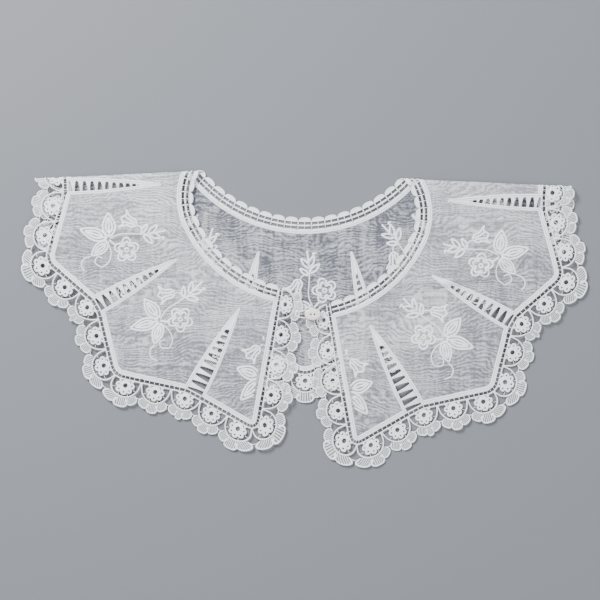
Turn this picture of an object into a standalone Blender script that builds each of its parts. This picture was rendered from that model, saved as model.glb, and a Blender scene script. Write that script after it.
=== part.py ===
"""A detachable lace cape collar, laid flat with its fronts folded over its back.

The collar is drafted flat, as its maker would cut it: an open ring of sheer cloth round an oval
neck, with a wide scalloped edging on its hem and fronts, a narrow scalloped trim round the neck
and ten wedge-shaped ladder inserts. The draft is in millimetres, with the centre back towards -Y,
the shoulders near Y = 0 and the opening at the centre front towards +Y. Each piece is cut as a
wall of cloth, and both fronts are then rolled over the shoulders to lie on the back.
"""

import math

import bpy
import numpy as np
from mathutils import Vector
from mathutils.geometry import delaunay_2d_cdt

MM = 0.001

# Cloth
CLOTH = 1.0  # thickness of every cloth and lace wall
SEAM = 0.3  # gap between two pieces, side by side or one on the other
GRID = 12.0  # spacing of the points inside the fronts
GRID_X = (-240.0, 241.0)
GRID_Y = (36.0, 240.0)
GRID_CLEAR = 0.45 * GRID  # from the points of the grid to a cut edge
EDGE_STEP = 8.0  # spacing of the points along a cut edge
FINE_STEP = 0.5  # spacing of the points on a line that lace is drawn from

# Neck: an oval of three tangent arcs on each side, each centred on the middle or beside it
NECK_BACK_RADIUS = 114.5
NECK_BACK_CENTRE = 68.6
NECK_FRONT_RADIUS = 102.5
NECK_FRONT_CENTRE = 11.5
NECK_SIDE_RADIUS = 53.0
NECK_FRONT_HALF_GAP = 31.4  # from the middle to a front's neck corner
NECK_ARC_STEPS = (12, 8, 12)

# Ladder inserts of one side, from the centre front to the centre back
# name, tip x, tip y, end x, end y, end width
LADDERS = (
    ("front", 61.7, 114.6, 101.8, 175.3, 17.9),
    ("chest", 106.7, 71.7, 170.3, 100.8, 15.6),
    ("shoulder", 113.7, 12.2, 185.0, 7.0, 13.4),
    ("blade", 84.0, -34.0, 135.0, -81.0, 14.0),
    ("nape", 36.3, -62.9, 52.5, -132.0, 14.0),
)
LADDER_TIP_WIDTH = 2.6
LADDER_SIDE_STEPS = 5

# Points of the hem of one side, one before each ladder and one at the centre back
# name, x, y, corner radius
HEM_POINTS = (
    ("front_corner", 58.1, 205.8, 3.0),
    ("front_point", 161.0, 154.6, 9.0),
    ("side_point", 204.5, 62.6, 9.0),
    ("shoulder_point", 183.8, -50.0, 9.0),
    ("back_point", 108.0, -129.5, 9.0),
    ("centre_point", 0.0, -155.5, 12.0),
)
CORNER_STEPS = 4

# Scalloped edging, measured outwards from the hem
EDGING_START = 9.0  # how far it runs on past the front's neck corner
EDGING_PITCH = 24.0
EDGING_MIDDLE = 7.8  # from the hem to the middle of a scallop
EDGING_EASE = 11.0  # length over which the lace turns a corner
EDGING_NARROWING = 0.2  # share of its depth that it loses at the fronts' neck corners
EDGING_NARROW_RUN = 60.0
# around, out: the outline of one scallop, as shares of the pitch and distances from the hem
EDGING_OUTLINE = (
    (-0.50, 17.0),
    (-0.43, 20.0),
    (-0.30, 22.6),
    (-0.18, 22.4),
    (-0.12, 24.2),
    (0.00, 25.2),
    (0.12, 24.2),
    (0.18, 22.4),
    (0.30, 22.6),
    (0.43, 20.0),
)

# Scalloped neck trim, measured inwards from the neck edge
TRIM_PITCH = 10.7
TRIM_VALLEY = 7.0
TRIM_PEAK = 9.9
TRIM_STEPS = 5
TRIM_END_INSET = 0.6  # from the front's corner to the cut end of the trim

# Shoulder creases, on the plan: side, height at CREASE_AT from the middle, fall in degrees
CREASES = (("left", 2.6, 2.65), ("right", -3.7, 2.65))
CREASE_AT = 80.0
CREASE_REACH = (60.0, 260.0)
ROLL_RADIUS = 2.2  # outside radius of the rolled cloth
ROLL_STEPS = 4
FLAT_BENDS = (9.0, 18.0)  # from the end of the roll to the bends where the cloth comes down
SETTLE = 26.0  # length over which a front comes down from the roll onto the back
LAYER = CLOTH + SEAM  # height of a front's lower side where it lies on the back

# Past the back's edge the fronts come down to the surface
BACK_REACH = 248.0  # from the middle of the back neck arc
FALL = 24.0

# Button on the right front and loop on the left one, on the plan
BUTTON_X = 6.0
BUTTON_Y = -111.0
BUTTON_HALF_WIDTH = 6.2
BUTTON_HALF_DEPTH = 4.5
BUTTON_FOOT = (0.86, 0.5)  # width of the underside as a share, and height of its slanted edge
BUTTON_RIM = 1.5
BUTTON_DOME = 1.3
BUTTON_DOME_STEPS = 6
BUTTON_TOP_SHARE = 0.15  # width of the flat at the top of the dome
BUTTON_HOLE_RADIUS = 0.55
BUTTON_HOLE_SPREAD = 1.4
HOLE_OVERRUN = 1.0
STUB_RADIUS = 2.2
LOOP_CORD = 1.0
LOOP_HALF_WIDTH = 3.2
LOOP_LENGTH = 16.5
LOOP_FAR_SHARE = 0.7  # width of the loop's far end, of its width at the button
LOOP_STEPS = 14
LOOP_SIDES = 8

COLOURS = {
    "body": (0.86, 0.87, 0.90),
    "ladder": (0.90, 0.90, 0.92),
    "edging": (0.92, 0.92, 0.93),
    "neck_trim": (0.92, 0.92, 0.93),
    "button": (0.90, 0.88, 0.82),
    "thread": (0.92, 0.92, 0.92),
}


def clear_scene():
    """Remove every object of the start-up scene."""
    for obj in list(bpy.data.objects):
        bpy.data.objects.remove(obj)


def cloth_material(name, roughness=0.8):
    """Return the plain material of one kind of piece."""
    material = bpy.data.materials.get(name) or bpy.data.materials.new(name)
    material.use_nodes = True
    shader = material.node_tree.nodes["Principled BSDF"]
    shader.inputs["Base Color"].default_value = (*COLOURS[name], 1.0)
    shader.inputs["Roughness"].default_value = roughness
    shader.inputs["Metallic"].default_value = 0.0
    return material


def smoothstep(value):
    """Return 0 below 0, 1 above 1 and a smooth blend between."""
    x = np.clip(value, 0.0, 1.0)
    return x * x * (3.0 - 2.0 * x)


def unit(vectors):
    """Return the vectors with length one."""
    return vectors / np.linalg.norm(vectors, axis=-1, keepdims=True)


def turned(vectors):
    """Return the vectors turned a quarter turn clockwise."""
    return np.stack([vectors[..., 1], -vectors[..., 0]], axis=-1)


def lengths_along(points):
    """Return the distance of each point from the first, along the line."""
    steps = np.linalg.norm(np.diff(points, axis=0), axis=1)
    return np.concatenate([[0.0], np.cumsum(steps)])


def at_lengths(points, wanted):
    """Return the points of a line at the wanted distances from its start."""
    along = lengths_along(points)
    return np.stack([np.interp(wanted, along, points[:, k]) for k in range(2)], axis=1)


def subdivided(points, step):
    """Return an open line with extra points wherever two are further apart than step."""
    rows = [points[:1]]
    for start, end in zip(points[:-1], points[1:]):
        count = max(1, math.ceil(np.linalg.norm(end - start) / step - 0.01))
        share = np.arange(1, count + 1)[:, None] / count
        rows.append(start + (end - start) * share)
    return np.vstack(rows)


def mirrored(points):
    """Return a line of the right side, reflected to the left side and reversed."""
    return (points * (-1.0, 1.0))[::-1]


def neck_half():
    """Return the right half of the neck edge, from the centre back to the front corner.

    The side arc lies inside both others and touches them, so its centre is where two circles
    about their centres meet, each smaller by the side arc's radius.
    """
    to_back = NECK_BACK_RADIUS - NECK_SIDE_RADIUS
    to_front = NECK_FRONT_RADIUS - NECK_SIDE_RADIUS
    apart = NECK_BACK_CENTRE - NECK_FRONT_CENTRE
    below = (to_back**2 - to_front**2 + apart**2) / (2.0 * apart)
    centre = np.array([math.sqrt(to_back**2 - below**2), NECK_BACK_CENTRE - below])
    back_end = math.atan2(centre[0], below)
    side_end = math.atan2(centre[0], -(centre[1] - NECK_FRONT_CENTRE))
    front_end = math.pi - math.asin(NECK_FRONT_HALF_GAP / NECK_FRONT_RADIUS)
    arcs = (
        ((0.0, NECK_BACK_CENTRE), NECK_BACK_RADIUS, 0.0, back_end),
        (centre, NECK_SIDE_RADIUS, back_end, side_end),
        ((0.0, NECK_FRONT_CENTRE), NECK_FRONT_RADIUS, side_end, front_end),
    )
    rows = []
    for (middle, radius, start, end), steps in zip(arcs, NECK_ARC_STEPS):
        angle = np.linspace(start, end, steps + 1)[:-1]
        rows.append(np.asarray(middle) + radius * np.stack([np.sin(angle), -np.cos(angle)], axis=1))
    corner = (
        NECK_FRONT_RADIUS * math.sin(front_end),
        NECK_FRONT_CENTRE - NECK_FRONT_RADIUS * math.cos(front_end),
    )
    return np.vstack([*rows, [corner]])


def neck_line():
    """Return the whole neck edge, from the left front's corner round the back to the right's."""
    half = neck_half()
    return np.vstack([mirrored(half)[:-1], half])


def rounded(before, corner, after, radius):
    """Return the points that round one corner of a line with an arc of the radius."""
    inward = unit(before - corner)
    outward = unit(after - corner)
    half_angle = 0.5 * math.acos(float(np.dot(inward, outward)))
    bisector = unit(inward + outward)
    centre = corner + bisector * radius / math.sin(half_angle)
    sweep = math.pi / 2.0 - half_angle
    side = turned(bisector)
    if np.dot(side, inward) < 0.0:
        side = -side
    angle = np.linspace(sweep, -sweep, CORNER_STEPS + 1)[:, None]
    return centre + radius * (side * np.sin(angle) - bisector * np.cos(angle))


def ladder_frame(ladder):
    """Return the tip, length, direction and leftward side vector of a right-hand ladder."""
    _, tip_x, tip_y, end_x, end_y, _ = ladder
    tip = np.array([tip_x, tip_y])
    reach = np.array([end_x, end_y]) - tip
    return tip, float(np.linalg.norm(reach)), unit(reach), -turned(unit(reach))


def ladder_side(ladder, side, inset):
    """Return one long side of a right-hand ladder, from its tip to the hem.

    The half-width grows from the tip's to the end's with the sine of a quarter turn. The side is
    +1 towards the centre front and -1 towards the back, and inset narrows the ladder all round.
    """
    tip, length, along, across = ladder_frame(ladder)
    share = np.linspace(0.0, 1.0, LADDER_SIDE_STEPS + 1)
    half = 0.5 * (LADDER_TIP_WIDTH + (ladder[5] - LADDER_TIP_WIDTH) * np.sin(share * math.pi / 2.0))
    out = share * length
    out[0] += inset
    return tip + out[:, None] * along + side * (half - inset)[:, None] * across


def half_hem(notched):
    """Return the right half of the hem, from the front's neck corner to the centre back.

    The notched hem follows every ladder's sides to its tip and back, and the plain one runs
    straight across the ladders' ends.
    """
    stops = [neck_half()[-1]]
    for point, ladder in zip(HEM_POINTS, LADDERS):
        stops += [
            np.array(point[1:3]),
            ladder_side(ladder, 1.0, 0.0)[-1],
            ladder_side(ladder, -1.0, 0.0)[-1],
        ]
    last = np.array(HEM_POINTS[-1][1:3])
    stops += [last, stops[-1] * (-1.0, 1.0)]
    rows = [stops[:1]]
    for k, point in enumerate(HEM_POINTS):
        at = 3 * k + 1
        rows.append(rounded(stops[at - 1], stops[at], stops[at + 1], point[3]))
        if k < len(LADDERS):
            near = ladder_side(LADDERS[k], 1.0, 0.0)
            far = ladder_side(LADDERS[k], -1.0, 0.0)
            notch = (near[::-1], far) if notched else (near[-1:], far[-1:])
            rows.append(np.vstack(notch))
    line = subdivided(np.vstack(rows), EDGE_STEP)
    return line[line[:, 0] >= -1e-6]


def whole_hem(notched):
    """Return the hem from the right front's neck corner round the back to the left's."""
    half = half_hem(notched)
    return np.vstack([half, mirrored(half)[1:]])


def counterclockwise(outline):
    """Return a closed outline so that it runs counterclockwise."""
    after = np.roll(outline, -1, axis=0)
    twice_area = np.sum(outline[:, 0] * after[:, 1] - after[:, 0] * outline[:, 1])
    return outline if twice_area > 0.0 else outline[::-1]


def body_outline():
    """Return the cut edge of the cloth ring with its slits for the ladders."""
    neck = subdivided(neck_line(), EDGE_STEP)[1:-1]
    return counterclockwise(np.vstack([neck, whole_hem(True)]))


def ladder_outline(ladder, mirror):
    """Return the cut edge of one ladder insert, a seam's gap inside its slit."""
    near = ladder_side(ladder, 1.0, SEAM)
    far = ladder_side(ladder, -1.0, SEAM)
    outline = np.vstack([far, near[::-1]])
    return counterclockwise(outline * (-1.0, 1.0) if mirror else outline)


def edging_path():
    """Return the line that the edging is sewn to, and its outward directions.

    The line is the plain hem with a short start and end past the fronts' neck corners. The
    directions are averaged over EDGING_EASE, so that the lace turns the corners smoothly.
    """
    hem = whole_hem(False)
    start = hem[0] + unit(hem[0] - hem[1]) * EDGING_START
    line = np.vstack([[start], hem, [start * (-1.0, 1.0)]])
    fine = at_lengths(line, np.arange(0.0, lengths_along(line)[-1], FINE_STEP))
    out = -turned(unit(np.gradient(fine, axis=0)))
    reach = int(round(EDGING_EASE / FINE_STEP))
    kernel = np.hanning(2 * reach + 3)
    padded = np.pad(out, ((reach + 1, reach + 1), (0, 0)), mode="edge")
    eased = [np.convolve(padded[:, k], kernel / kernel.sum(), mode="valid") for k in range(2)]
    return line, fine, unit(np.stack(eased, axis=1))


def edging_outline():
    """Return the outline of the edging: straight along the hem, scalloped outside.

    The scallops are spaced evenly along the line through their middles, with one at the centre
    back, so that they fan out at the points of the hem and crowd between them.
    """
    line, fine, out = edging_path()
    along = lengths_along(fine)
    middles = lengths_along(fine + out * EDGING_MIDDLE)
    count = 2 * int(round((middles[-1] / EDGING_PITCH - 1.0) / 2.0)) + 1
    shape = np.array(EDGING_OUTLINE)
    around = (np.arange(count)[:, None] + shape[:, 0] - shape[0, 0]).ravel()
    reach = np.append(np.tile(shape[:, 1], count), shape[0, 1])
    at = np.interp(np.append(around, count) / count * middles[-1], middles, along)
    from_end = np.minimum(at, along[-1] - at)
    reach = reach * (1.0 - EDGING_NARROWING * (1.0 - smoothstep(from_end / EDGING_NARROW_RUN)))

    def offset(wanted, distance):
        base = np.stack([np.interp(wanted, along, fine[:, k]) for k in range(2)], axis=1)
        way = unit(np.stack([np.interp(wanted, along, out[:, k]) for k in range(2)], axis=1))
        return base + way * np.reshape(distance, (-1, 1))

    inner_at = lengths_along(line)
    inner_at[-1] = along[-1]
    inner = offset(inner_at, np.full(len(inner_at), SEAM))
    return counterclockwise(np.vstack([inner[::-1], offset(at, reach)]))


def trim_outline():
    """Return the outline of the neck trim: along the neck edge, scalloped inside it."""
    edge = neck_line()
    line = at_lengths(edge, np.arange(0.0, lengths_along(edge)[-1], FINE_STEP))
    along = lengths_along(line)
    inward = -turned(unit(np.gradient(line, axis=0)))
    run = along[-1] - 2.0 * TRIM_END_INSET
    count = 2 * int(round((run / TRIM_PITCH - 1.0) / 2.0)) + 1

    def offset(wanted, distance):
        base = at_lengths(line, wanted)
        way = unit(np.stack([np.interp(wanted, along, inward[:, k]) for k in range(2)], axis=1))
        return base + way * np.reshape(distance, (-1, 1))

    share = (np.arange(TRIM_STEPS) / TRIM_STEPS) * 2.0 - 1.0
    bump = TRIM_VALLEY + (TRIM_PEAK - TRIM_VALLEY) * np.sqrt(1.0 - share**2)
    place = (np.arange(count)[:, None] + np.arange(TRIM_STEPS)[None, :] / TRIM_STEPS).ravel()
    at = TRIM_END_INSET + np.append(place, count) / count * run
    reach = np.append(np.tile(bump, count), TRIM_VALLEY)
    outer_at = np.clip(lengths_along(edge), at[0], at[-1])
    outer = offset(outer_at, np.full(len(outer_at), SEAM))
    return counterclockwise(np.vstack([outer, offset(at, reach)[::-1]]))


def crease_frame(side):
    """Return a point on a shoulder crease of the draft, and the direction towards the front."""
    _, height, fall = CREASES[side]
    sign = (-1.0, 1.0)[side]
    slope = math.radians(fall) * -sign
    return np.array([sign * CREASE_AT, height]), np.array([-math.sin(slope), math.cos(slope)])


def crease_lines():
    """Return the lines across which the cloth bends as it rolls over, as pairs of points."""
    half = math.pi * ROLL_RADIUS / 2.0
    bends = np.append(np.linspace(-half, half, ROLL_STEPS + 1), half + np.array(FLAT_BENDS))
    lines = []
    for side, sign in enumerate((-1.0, 1.0)):
        anchor, forward = crease_frame(side)
        run = turned(forward) * sign
        for bend in bends:
            base = anchor + forward * bend
            lines.append([base + run * (reach - CREASE_AT) for reach in CREASE_REACH])
    return lines


def folded(points, level):
    """Return where the draft's points lie once both fronts are rolled over the shoulders.

    Ahead of the crease the cloth runs round half a cylinder, flat between its bends, and back
    over itself. The level is the height above the right side of the cloth, which lies below on
    the back and on top on the fronts. A front then settles onto the back, and beyond the back's
    edge onto the surface.
    """
    flat = np.array(points, dtype=float)
    ahead = np.zeros(len(flat))
    forward = np.zeros_like(flat)
    for side in range(2):
        anchor, way = crease_frame(side)
        mine = (flat[:, 0] < 0.0) if side == 0 else (flat[:, 0] >= 0.0)
        ahead[mine] = (flat[mine] - anchor) @ way
        forward[mine] = way
    half = math.pi * ROLL_RADIUS / 2.0
    bends = np.linspace(-half, half, ROLL_STEPS + 1)
    angle = (bends + half) / ROLL_RADIUS
    radius = ROLL_RADIUS - level
    rolled = np.interp(ahead, bends, radius * np.sin(angle) - half)
    along = np.where(ahead < -half, ahead, np.where(ahead > half, -ahead, rolled))
    height = np.interp(ahead, bends, ROLL_RADIUS - radius * np.cos(angle))
    plan = flat + forward * (along - ahead)[:, None]
    lift = 2.0 * ROLL_RADIUS - 2.0 * CLOTH - SEAM
    settled = lift * smoothstep((ahead - half) / SETTLE)
    past = np.hypot(plan[:, 0], plan[:, 1] - NECK_BACK_CENTRE) - BACK_REACH
    dropped = np.where(ahead > half, LAYER * smoothstep(past / FALL), 0.0)
    return np.column_stack([plan, height - settled - dropped])


def clear_of(points, outline, gap):
    """Return the points that lie further than the gap from every edge of the outline."""
    start = outline
    run = np.roll(outline, -1, axis=0) - start
    share = np.einsum("pek,ek->pe", points[:, None] - start, run) / np.maximum((run**2).sum(1), 1e-9)
    nearest = start + np.clip(share, 0.0, 1.0)[..., None] * run
    away = np.linalg.norm(points[:, None] - nearest, axis=2).min(axis=1)
    return points[away > gap]


def grid_points(outline):
    """Return the grid of points inside the fronts, clear of the outline and the roll."""
    x = np.arange(*GRID_X, GRID)
    y = np.arange(*GRID_Y, GRID)
    grid = np.stack(np.meshgrid(x, y), axis=-1).reshape(-1, 2)
    return clear_of(grid, outline, GRID_CLEAR)


def cut_cloth(outline, inside):
    """Return points and triangles that fill the outline, with edges along the creases."""
    creases = crease_lines()
    points = np.vstack([outline, inside, np.array(creases).reshape(-1, 2)])
    first = len(outline) + len(inside)
    edges = [(first + 2 * k, first + 2 * k + 1) for k in range(len(creases))]
    face = list(range(len(outline)))
    result = delaunay_2d_cdt([Vector(p) for p in points], edges, [face], 0, 1e-4, True)
    corners = np.array([tuple(p) for p in result[0]])
    triangles = np.array([tri for tri, source in zip(result[2], result[5]) if source])
    used = np.unique(triangles)
    return corners[used], np.searchsorted(used, triangles)


def cloth_wall(name, outline, kind, inside=None):
    """Make one piece of cloth: cut flat, given its thickness and folded with the rest."""
    inner = np.zeros((0, 2)) if inside is None else inside
    points, triangles = cut_cloth(outline, inner)
    count = len(points)
    edges = np.vstack([triangles[:, [0, 1]], triangles[:, [1, 2]], triangles[:, [2, 0]]])
    known = {tuple(edge) for edge in edges.tolist()}
    rim = [edge for edge in edges.tolist() if (edge[1], edge[0]) not in known]
    sides = [(p, q, q + count, p + count) for p, q in rim]
    wall = [tuple(tri) for tri in (triangles + count).tolist()]
    under = [tuple(tri[::-1]) for tri in triangles.tolist()]
    corners = np.vstack([folded(points, 0.0), folded(points, CLOTH)])
    return add_object(name, corners, wall + under + sides, kind)


def add_object(name, corners, faces, kind, roughness=0.8):
    """Add an object from its corners in millimetres and its faces."""
    mesh = bpy.data.meshes.new(name)
    mesh.from_pydata((corners * MM).tolist(), [], faces)
    mesh.materials.append(cloth_material(kind, roughness))
    obj = bpy.data.objects.new(name, mesh)
    bpy.context.scene.collection.objects.link(obj)
    return obj


def turned_solid(name, profile, widths, centre, kind, sides=28, roughness=0.8):
    """Make a solid turned about +Z from (radius share, height) rows, stretched to an oval."""
    angle = np.arange(sides) * 2.0 * math.pi / sides
    rings = [
        np.column_stack([
            centre[0] + widths[0] * share * np.cos(angle),
            centre[1] + widths[1] * share * np.sin(angle),
            np.full(sides, height),
        ])
        for share, height in profile
    ]
    faces = [tuple(range(sides))[::-1]]
    for ring in range(len(profile) - 1):
        low = ring * sides
        for k in range(sides):
            after = (k + 1) % sides
            faces.append((low + k, low + after, low + sides + after, low + sides + k))
    top = (len(profile) - 1) * sides
    faces.append(tuple(range(top, top + sides)))
    return add_object(name, np.vstack(rings), faces, kind, roughness)


def make_button(base):
    """Make the domed oval button with its two sewing holes, its underside at the base height."""
    share = np.linspace(1.0, BUTTON_TOP_SHARE, BUTTON_DOME_STEPS)
    dome = np.column_stack([share, base + BUTTON_RIM + BUTTON_DOME * np.sqrt(1.0 - share**2)])
    profile = [(BUTTON_FOOT[0], base), (1.0, base + BUTTON_FOOT[1]), *dome.tolist()]
    widths = (BUTTON_HALF_WIDTH, BUTTON_HALF_DEPTH)
    button = turned_solid("button", profile, widths, (BUTTON_X, BUTTON_Y), "button", roughness=0.3)
    button.data.shade_smooth()
    for name, sign in (("cutter_left", -1.0), ("cutter_right", 1.0)):
        top = base + BUTTON_RIM + BUTTON_DOME
        profile = [(1.0, base - HOLE_OVERRUN), (1.0, top + HOLE_OVERRUN)]
        at = (BUTTON_X + sign * BUTTON_HOLE_SPREAD, BUTTON_Y)
        radii = (BUTTON_HOLE_RADIUS, BUTTON_HOLE_RADIUS)
        cutter = turned_solid(name, profile, radii, at, "thread", sides=10)
        cutter.hide_render = True
        cutter.display_type = "WIRE"
        hole = button.modifiers.new(name, "BOOLEAN")
        hole.operation = "DIFFERENCE"
        hole.solver = "EXACT"
        hole.object = cutter
    return button


def make_loop(base):
    """Make the thread loop, a closed cord from the left front's lace round the button's stub."""
    far_half = LOOP_HALF_WIDTH * LOOP_FAR_SHARE
    turn = np.linspace(-math.pi / 2.0, math.pi / 2.0, LOOP_STEPS)
    right = BUTTON_X + np.cos(turn) * LOOP_HALF_WIDTH
    left = BUTTON_X + LOOP_HALF_WIDTH - LOOP_LENGTH + far_half * (1.0 - np.cos(turn))
    path = np.vstack([
        np.column_stack([right, BUTTON_Y + np.sin(turn) * LOOP_HALF_WIDTH]),
        np.column_stack([left, BUTTON_Y - np.sin(turn) * far_half]),
    ])
    along = unit(np.roll(path, -1, axis=0) - np.roll(path, 1, axis=0))
    across = turned(along)
    sides = LOOP_SIDES
    angle = np.arange(sides) * 2.0 * math.pi / sides
    radius = LOOP_CORD / 2.0
    rings = [
        np.column_stack([
            centre + radius * np.cos(angle)[:, None] * way,
            base + radius + radius * np.sin(angle),
        ])
        for centre, way in zip(path, across)
    ]
    faces = []
    for ring in range(len(path)):
        low = ring * sides
        high = ((ring + 1) % len(path)) * sides
        for k in range(sides):
            after = (k + 1) % sides
            faces.append((low + k, high + k, high + after, low + after))
    return add_object("loop", np.vstack(rings), faces, "thread")


def make_fastening():
    """Make the button, its thread stub and the loop, on top of the fronts' lace."""
    top = CLOTH + LAYER + SEAM
    stub = [(1.0, top), (1.0, top + LOOP_CORD)]
    widths = (STUB_RADIUS, STUB_RADIUS)
    turned_solid("button_thread", stub, widths, (BUTTON_X, BUTTON_Y), "thread", sides=16)
    make_loop(top)
    make_button(top + LOOP_CORD + SEAM)


def place_on_origin():
    """Move every object so that the origin is below the middle of the whole collar."""
    meshes = [obj for obj in bpy.data.objects if obj.type == "MESH"]
    shown = [obj for obj in meshes if not obj.hide_render]
    corners = np.array([tuple(v.co) for obj in shown for v in obj.data.vertices])
    low, high = corners.min(axis=0), corners.max(axis=0)
    shift = Vector((-(low[0] + high[0]) / 2.0, -(low[1] + high[1]) / 2.0, -low[2]))
    for obj in meshes:
        obj.location = shift


def main():
    """Build the collar."""
    clear_scene()
    outline = body_outline()
    cloth_wall("body", outline, "body", grid_points(outline))
    for mirror, side in ((False, "right"), (True, "left")):
        for ladder in LADDERS:
            cloth_wall(f"ladder_{side}_{ladder[0]}", ladder_outline(ladder, mirror), "ladder")
    cloth_wall("edging", edging_outline(), "edging")
    cloth_wall("neck_trim", trim_outline(), "neck_trim")
    make_fastening()
    place_on_origin()


if __name__ == "__main__":
    main()
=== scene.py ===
"""The looks of a detachable lace cape collar, laid flat with its fronts folded over its back.

Every piece is drawn on the flat draft of the collar, in millimetres, and then laid down with the
fold of the shoulders and the soft waves of the cloth. The draft has the centre back towards -Y,
the shoulders near Y = 0 and the opening at the centre front towards +Y.
"""

from __future__ import annotations

import logging
import math
from dataclasses import dataclass, field
from enum import Enum
from typing import Iterable, Sequence

import bpy
import numpy as np
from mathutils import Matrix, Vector
from mathutils.geometry import delaunay_2d_cdt


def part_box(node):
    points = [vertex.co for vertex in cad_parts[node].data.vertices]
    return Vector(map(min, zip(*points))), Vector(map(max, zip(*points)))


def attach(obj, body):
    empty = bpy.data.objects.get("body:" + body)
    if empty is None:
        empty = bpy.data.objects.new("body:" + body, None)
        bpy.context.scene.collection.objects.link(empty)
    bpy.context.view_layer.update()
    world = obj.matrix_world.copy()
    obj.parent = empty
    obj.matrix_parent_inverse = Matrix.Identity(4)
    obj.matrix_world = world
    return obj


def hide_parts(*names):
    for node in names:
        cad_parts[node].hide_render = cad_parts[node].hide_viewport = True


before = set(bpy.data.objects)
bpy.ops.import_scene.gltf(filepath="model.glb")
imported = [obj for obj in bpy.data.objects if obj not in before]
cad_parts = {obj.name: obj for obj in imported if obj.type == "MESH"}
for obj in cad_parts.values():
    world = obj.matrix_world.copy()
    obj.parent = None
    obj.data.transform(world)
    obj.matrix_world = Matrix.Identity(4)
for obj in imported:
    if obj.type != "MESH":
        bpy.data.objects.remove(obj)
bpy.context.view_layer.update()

LOG = logging.getLogger("collar")
MM = 0.001
TESTED_AT_ONCE = 4000
MEASURED_AT_ONCE = 2000
Array = np.ndarray


class Layer(Enum):
    """A part of the collar that lies as one layer, by the side of the draft that it comes from."""

    BACK = 0
    LEFT_FRONT = -1
    RIGHT_FRONT = 1


# ---------------------------------------------------------------------------------------------
# Lines and numbers
# ---------------------------------------------------------------------------------------------


def smoothstep(value: Array | float) -> Array:
    """Return 0 below 0, 1 above 1 and a smooth blend between."""
    x = np.clip(value, 0.0, 1.0)
    return x * x * (3.0 - 2.0 * x)


def unit(vectors: Array) -> Array:
    """Return the vectors with length one."""
    return vectors / np.maximum(np.linalg.norm(vectors, axis=-1, keepdims=True), 1e-9)


def turned(vectors: Array) -> Array:
    """Return the vectors turned a quarter turn clockwise."""
    return np.stack([vectors[..., 1], -vectors[..., 0]], axis=-1)


def lengths_along(points: Array) -> Array:
    """Return the distance of each point from the first, along the line."""
    steps = np.linalg.norm(np.diff(points, axis=0), axis=1)
    return np.concatenate([[0.0], np.cumsum(steps)])


def at_lengths(points: Array, wanted: Array) -> Array:
    """Return the points of a line at the wanted distances from its start."""
    along = lengths_along(points)
    return np.stack([np.interp(wanted, along, points[:, k]) for k in range(2)], axis=1)


def evenly(points: Array, step: float) -> Array:
    """Return a line's points set anew, about a step apart."""
    run = lengths_along(points)[-1]
    return at_lengths(points, np.linspace(0.0, run, max(2, int(round(run / step)) + 1)))


def closed(points: Array) -> Array:
    """Return a line with its first point added at its end."""
    return np.vstack([points, points[:1]])


def eased(values: Array, reach: int, ring: bool) -> Array:
    """Average rows with their neighbours.

    Formula: each row becomes the sum of the rows up to reach away, weighted by a raised cosine.

    Args:
        values: Rows of numbers along a line.
        reach: How many rows the average takes on each side.
        ring: Whether the line closes on itself.

    Returns:
        The averaged rows, as many as came in.
    """
    kernel = np.hanning(2 * reach + 3)
    mode = "wrap" if ring else "edge"
    padded = np.pad(values, ((reach + 1, reach + 1), (0, 0)), mode=mode)
    weights = kernel / kernel.sum()
    columns = [np.convolve(column, weights, mode="valid") for column in padded.T]
    return np.stack(columns, axis=1)


def curve_through(points: Sequence[Sequence[float]], steps: int = 8, ring: bool = False) -> Array:
    """Draw a smooth line through given points.

    Formula: between two points the line is the cubic whose slopes at its ends are half the
    difference of the neighbouring points.

    Args:
        points: The points that the line passes.
        steps: How many parts each stretch is cut into.
        ring: Whether the line closes on itself.

    Returns:
        The points of the smooth line, with the first one again at the end of a ring.
    """
    knots = np.asarray(points, dtype=float)
    if ring:
        knots = np.vstack([knots[-1:], knots, knots[:2]])
    else:
        knots = np.vstack([2.0 * knots[0] - knots[1], knots, 2.0 * knots[-1] - knots[-2]])
    before, start, end, after = knots[:-3], knots[1:-2], knots[2:-1], knots[3:]
    t = np.linspace(0.0, 1.0, steps + 1)[:-1][None, :, None]
    first, second = (end - before) / 2.0, (after - start) / 2.0
    cubic = (
        start[:, None] * (1.0 - 3.0 * t**2 + 2.0 * t**3)
        + end[:, None] * (3.0 * t**2 - 2.0 * t**3)
        + first[:, None] * (t - 2.0 * t**2 + t**3)
        + second[:, None] * (t**3 - t**2)
    )
    return np.vstack([cubic.reshape(-1, 2), end[-1:]])


def inside(outline: Array, points: Array) -> Array:
    """Tell which points lie inside a closed outline.

    Formula: a point is inside when a ray from it towards +X crosses the outline an odd number
    of times.

    Args:
        outline: The outline's points, without the first one repeated.
        points: The points to test.

    Returns:
        True for each point inside.
    """
    start, end = outline, np.roll(outline, -1, axis=0)
    found = np.zeros(len(points), dtype=bool)
    for low in range(0, len(points), TESTED_AT_ONCE):
        part = points[low : low + TESTED_AT_ONCE]
        level = part[:, None, 1]
        spans = (start[None, :, 1] > level) != (end[None, :, 1] > level)
        rise = np.where(end[:, 1] == start[:, 1], 1e-9, end[:, 1] - start[:, 1])
        share = (part[:, None, 1] - start[None, :, 1]) / rise[None, :]
        cross = start[None, :, 0] + share * (end - start)[None, :, 0]
        crossings = (spans & (part[:, None, 0] < cross)).sum(axis=1)
        found[low : low + TESTED_AT_ONCE] = crossings % 2 == 1
    return found


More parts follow.
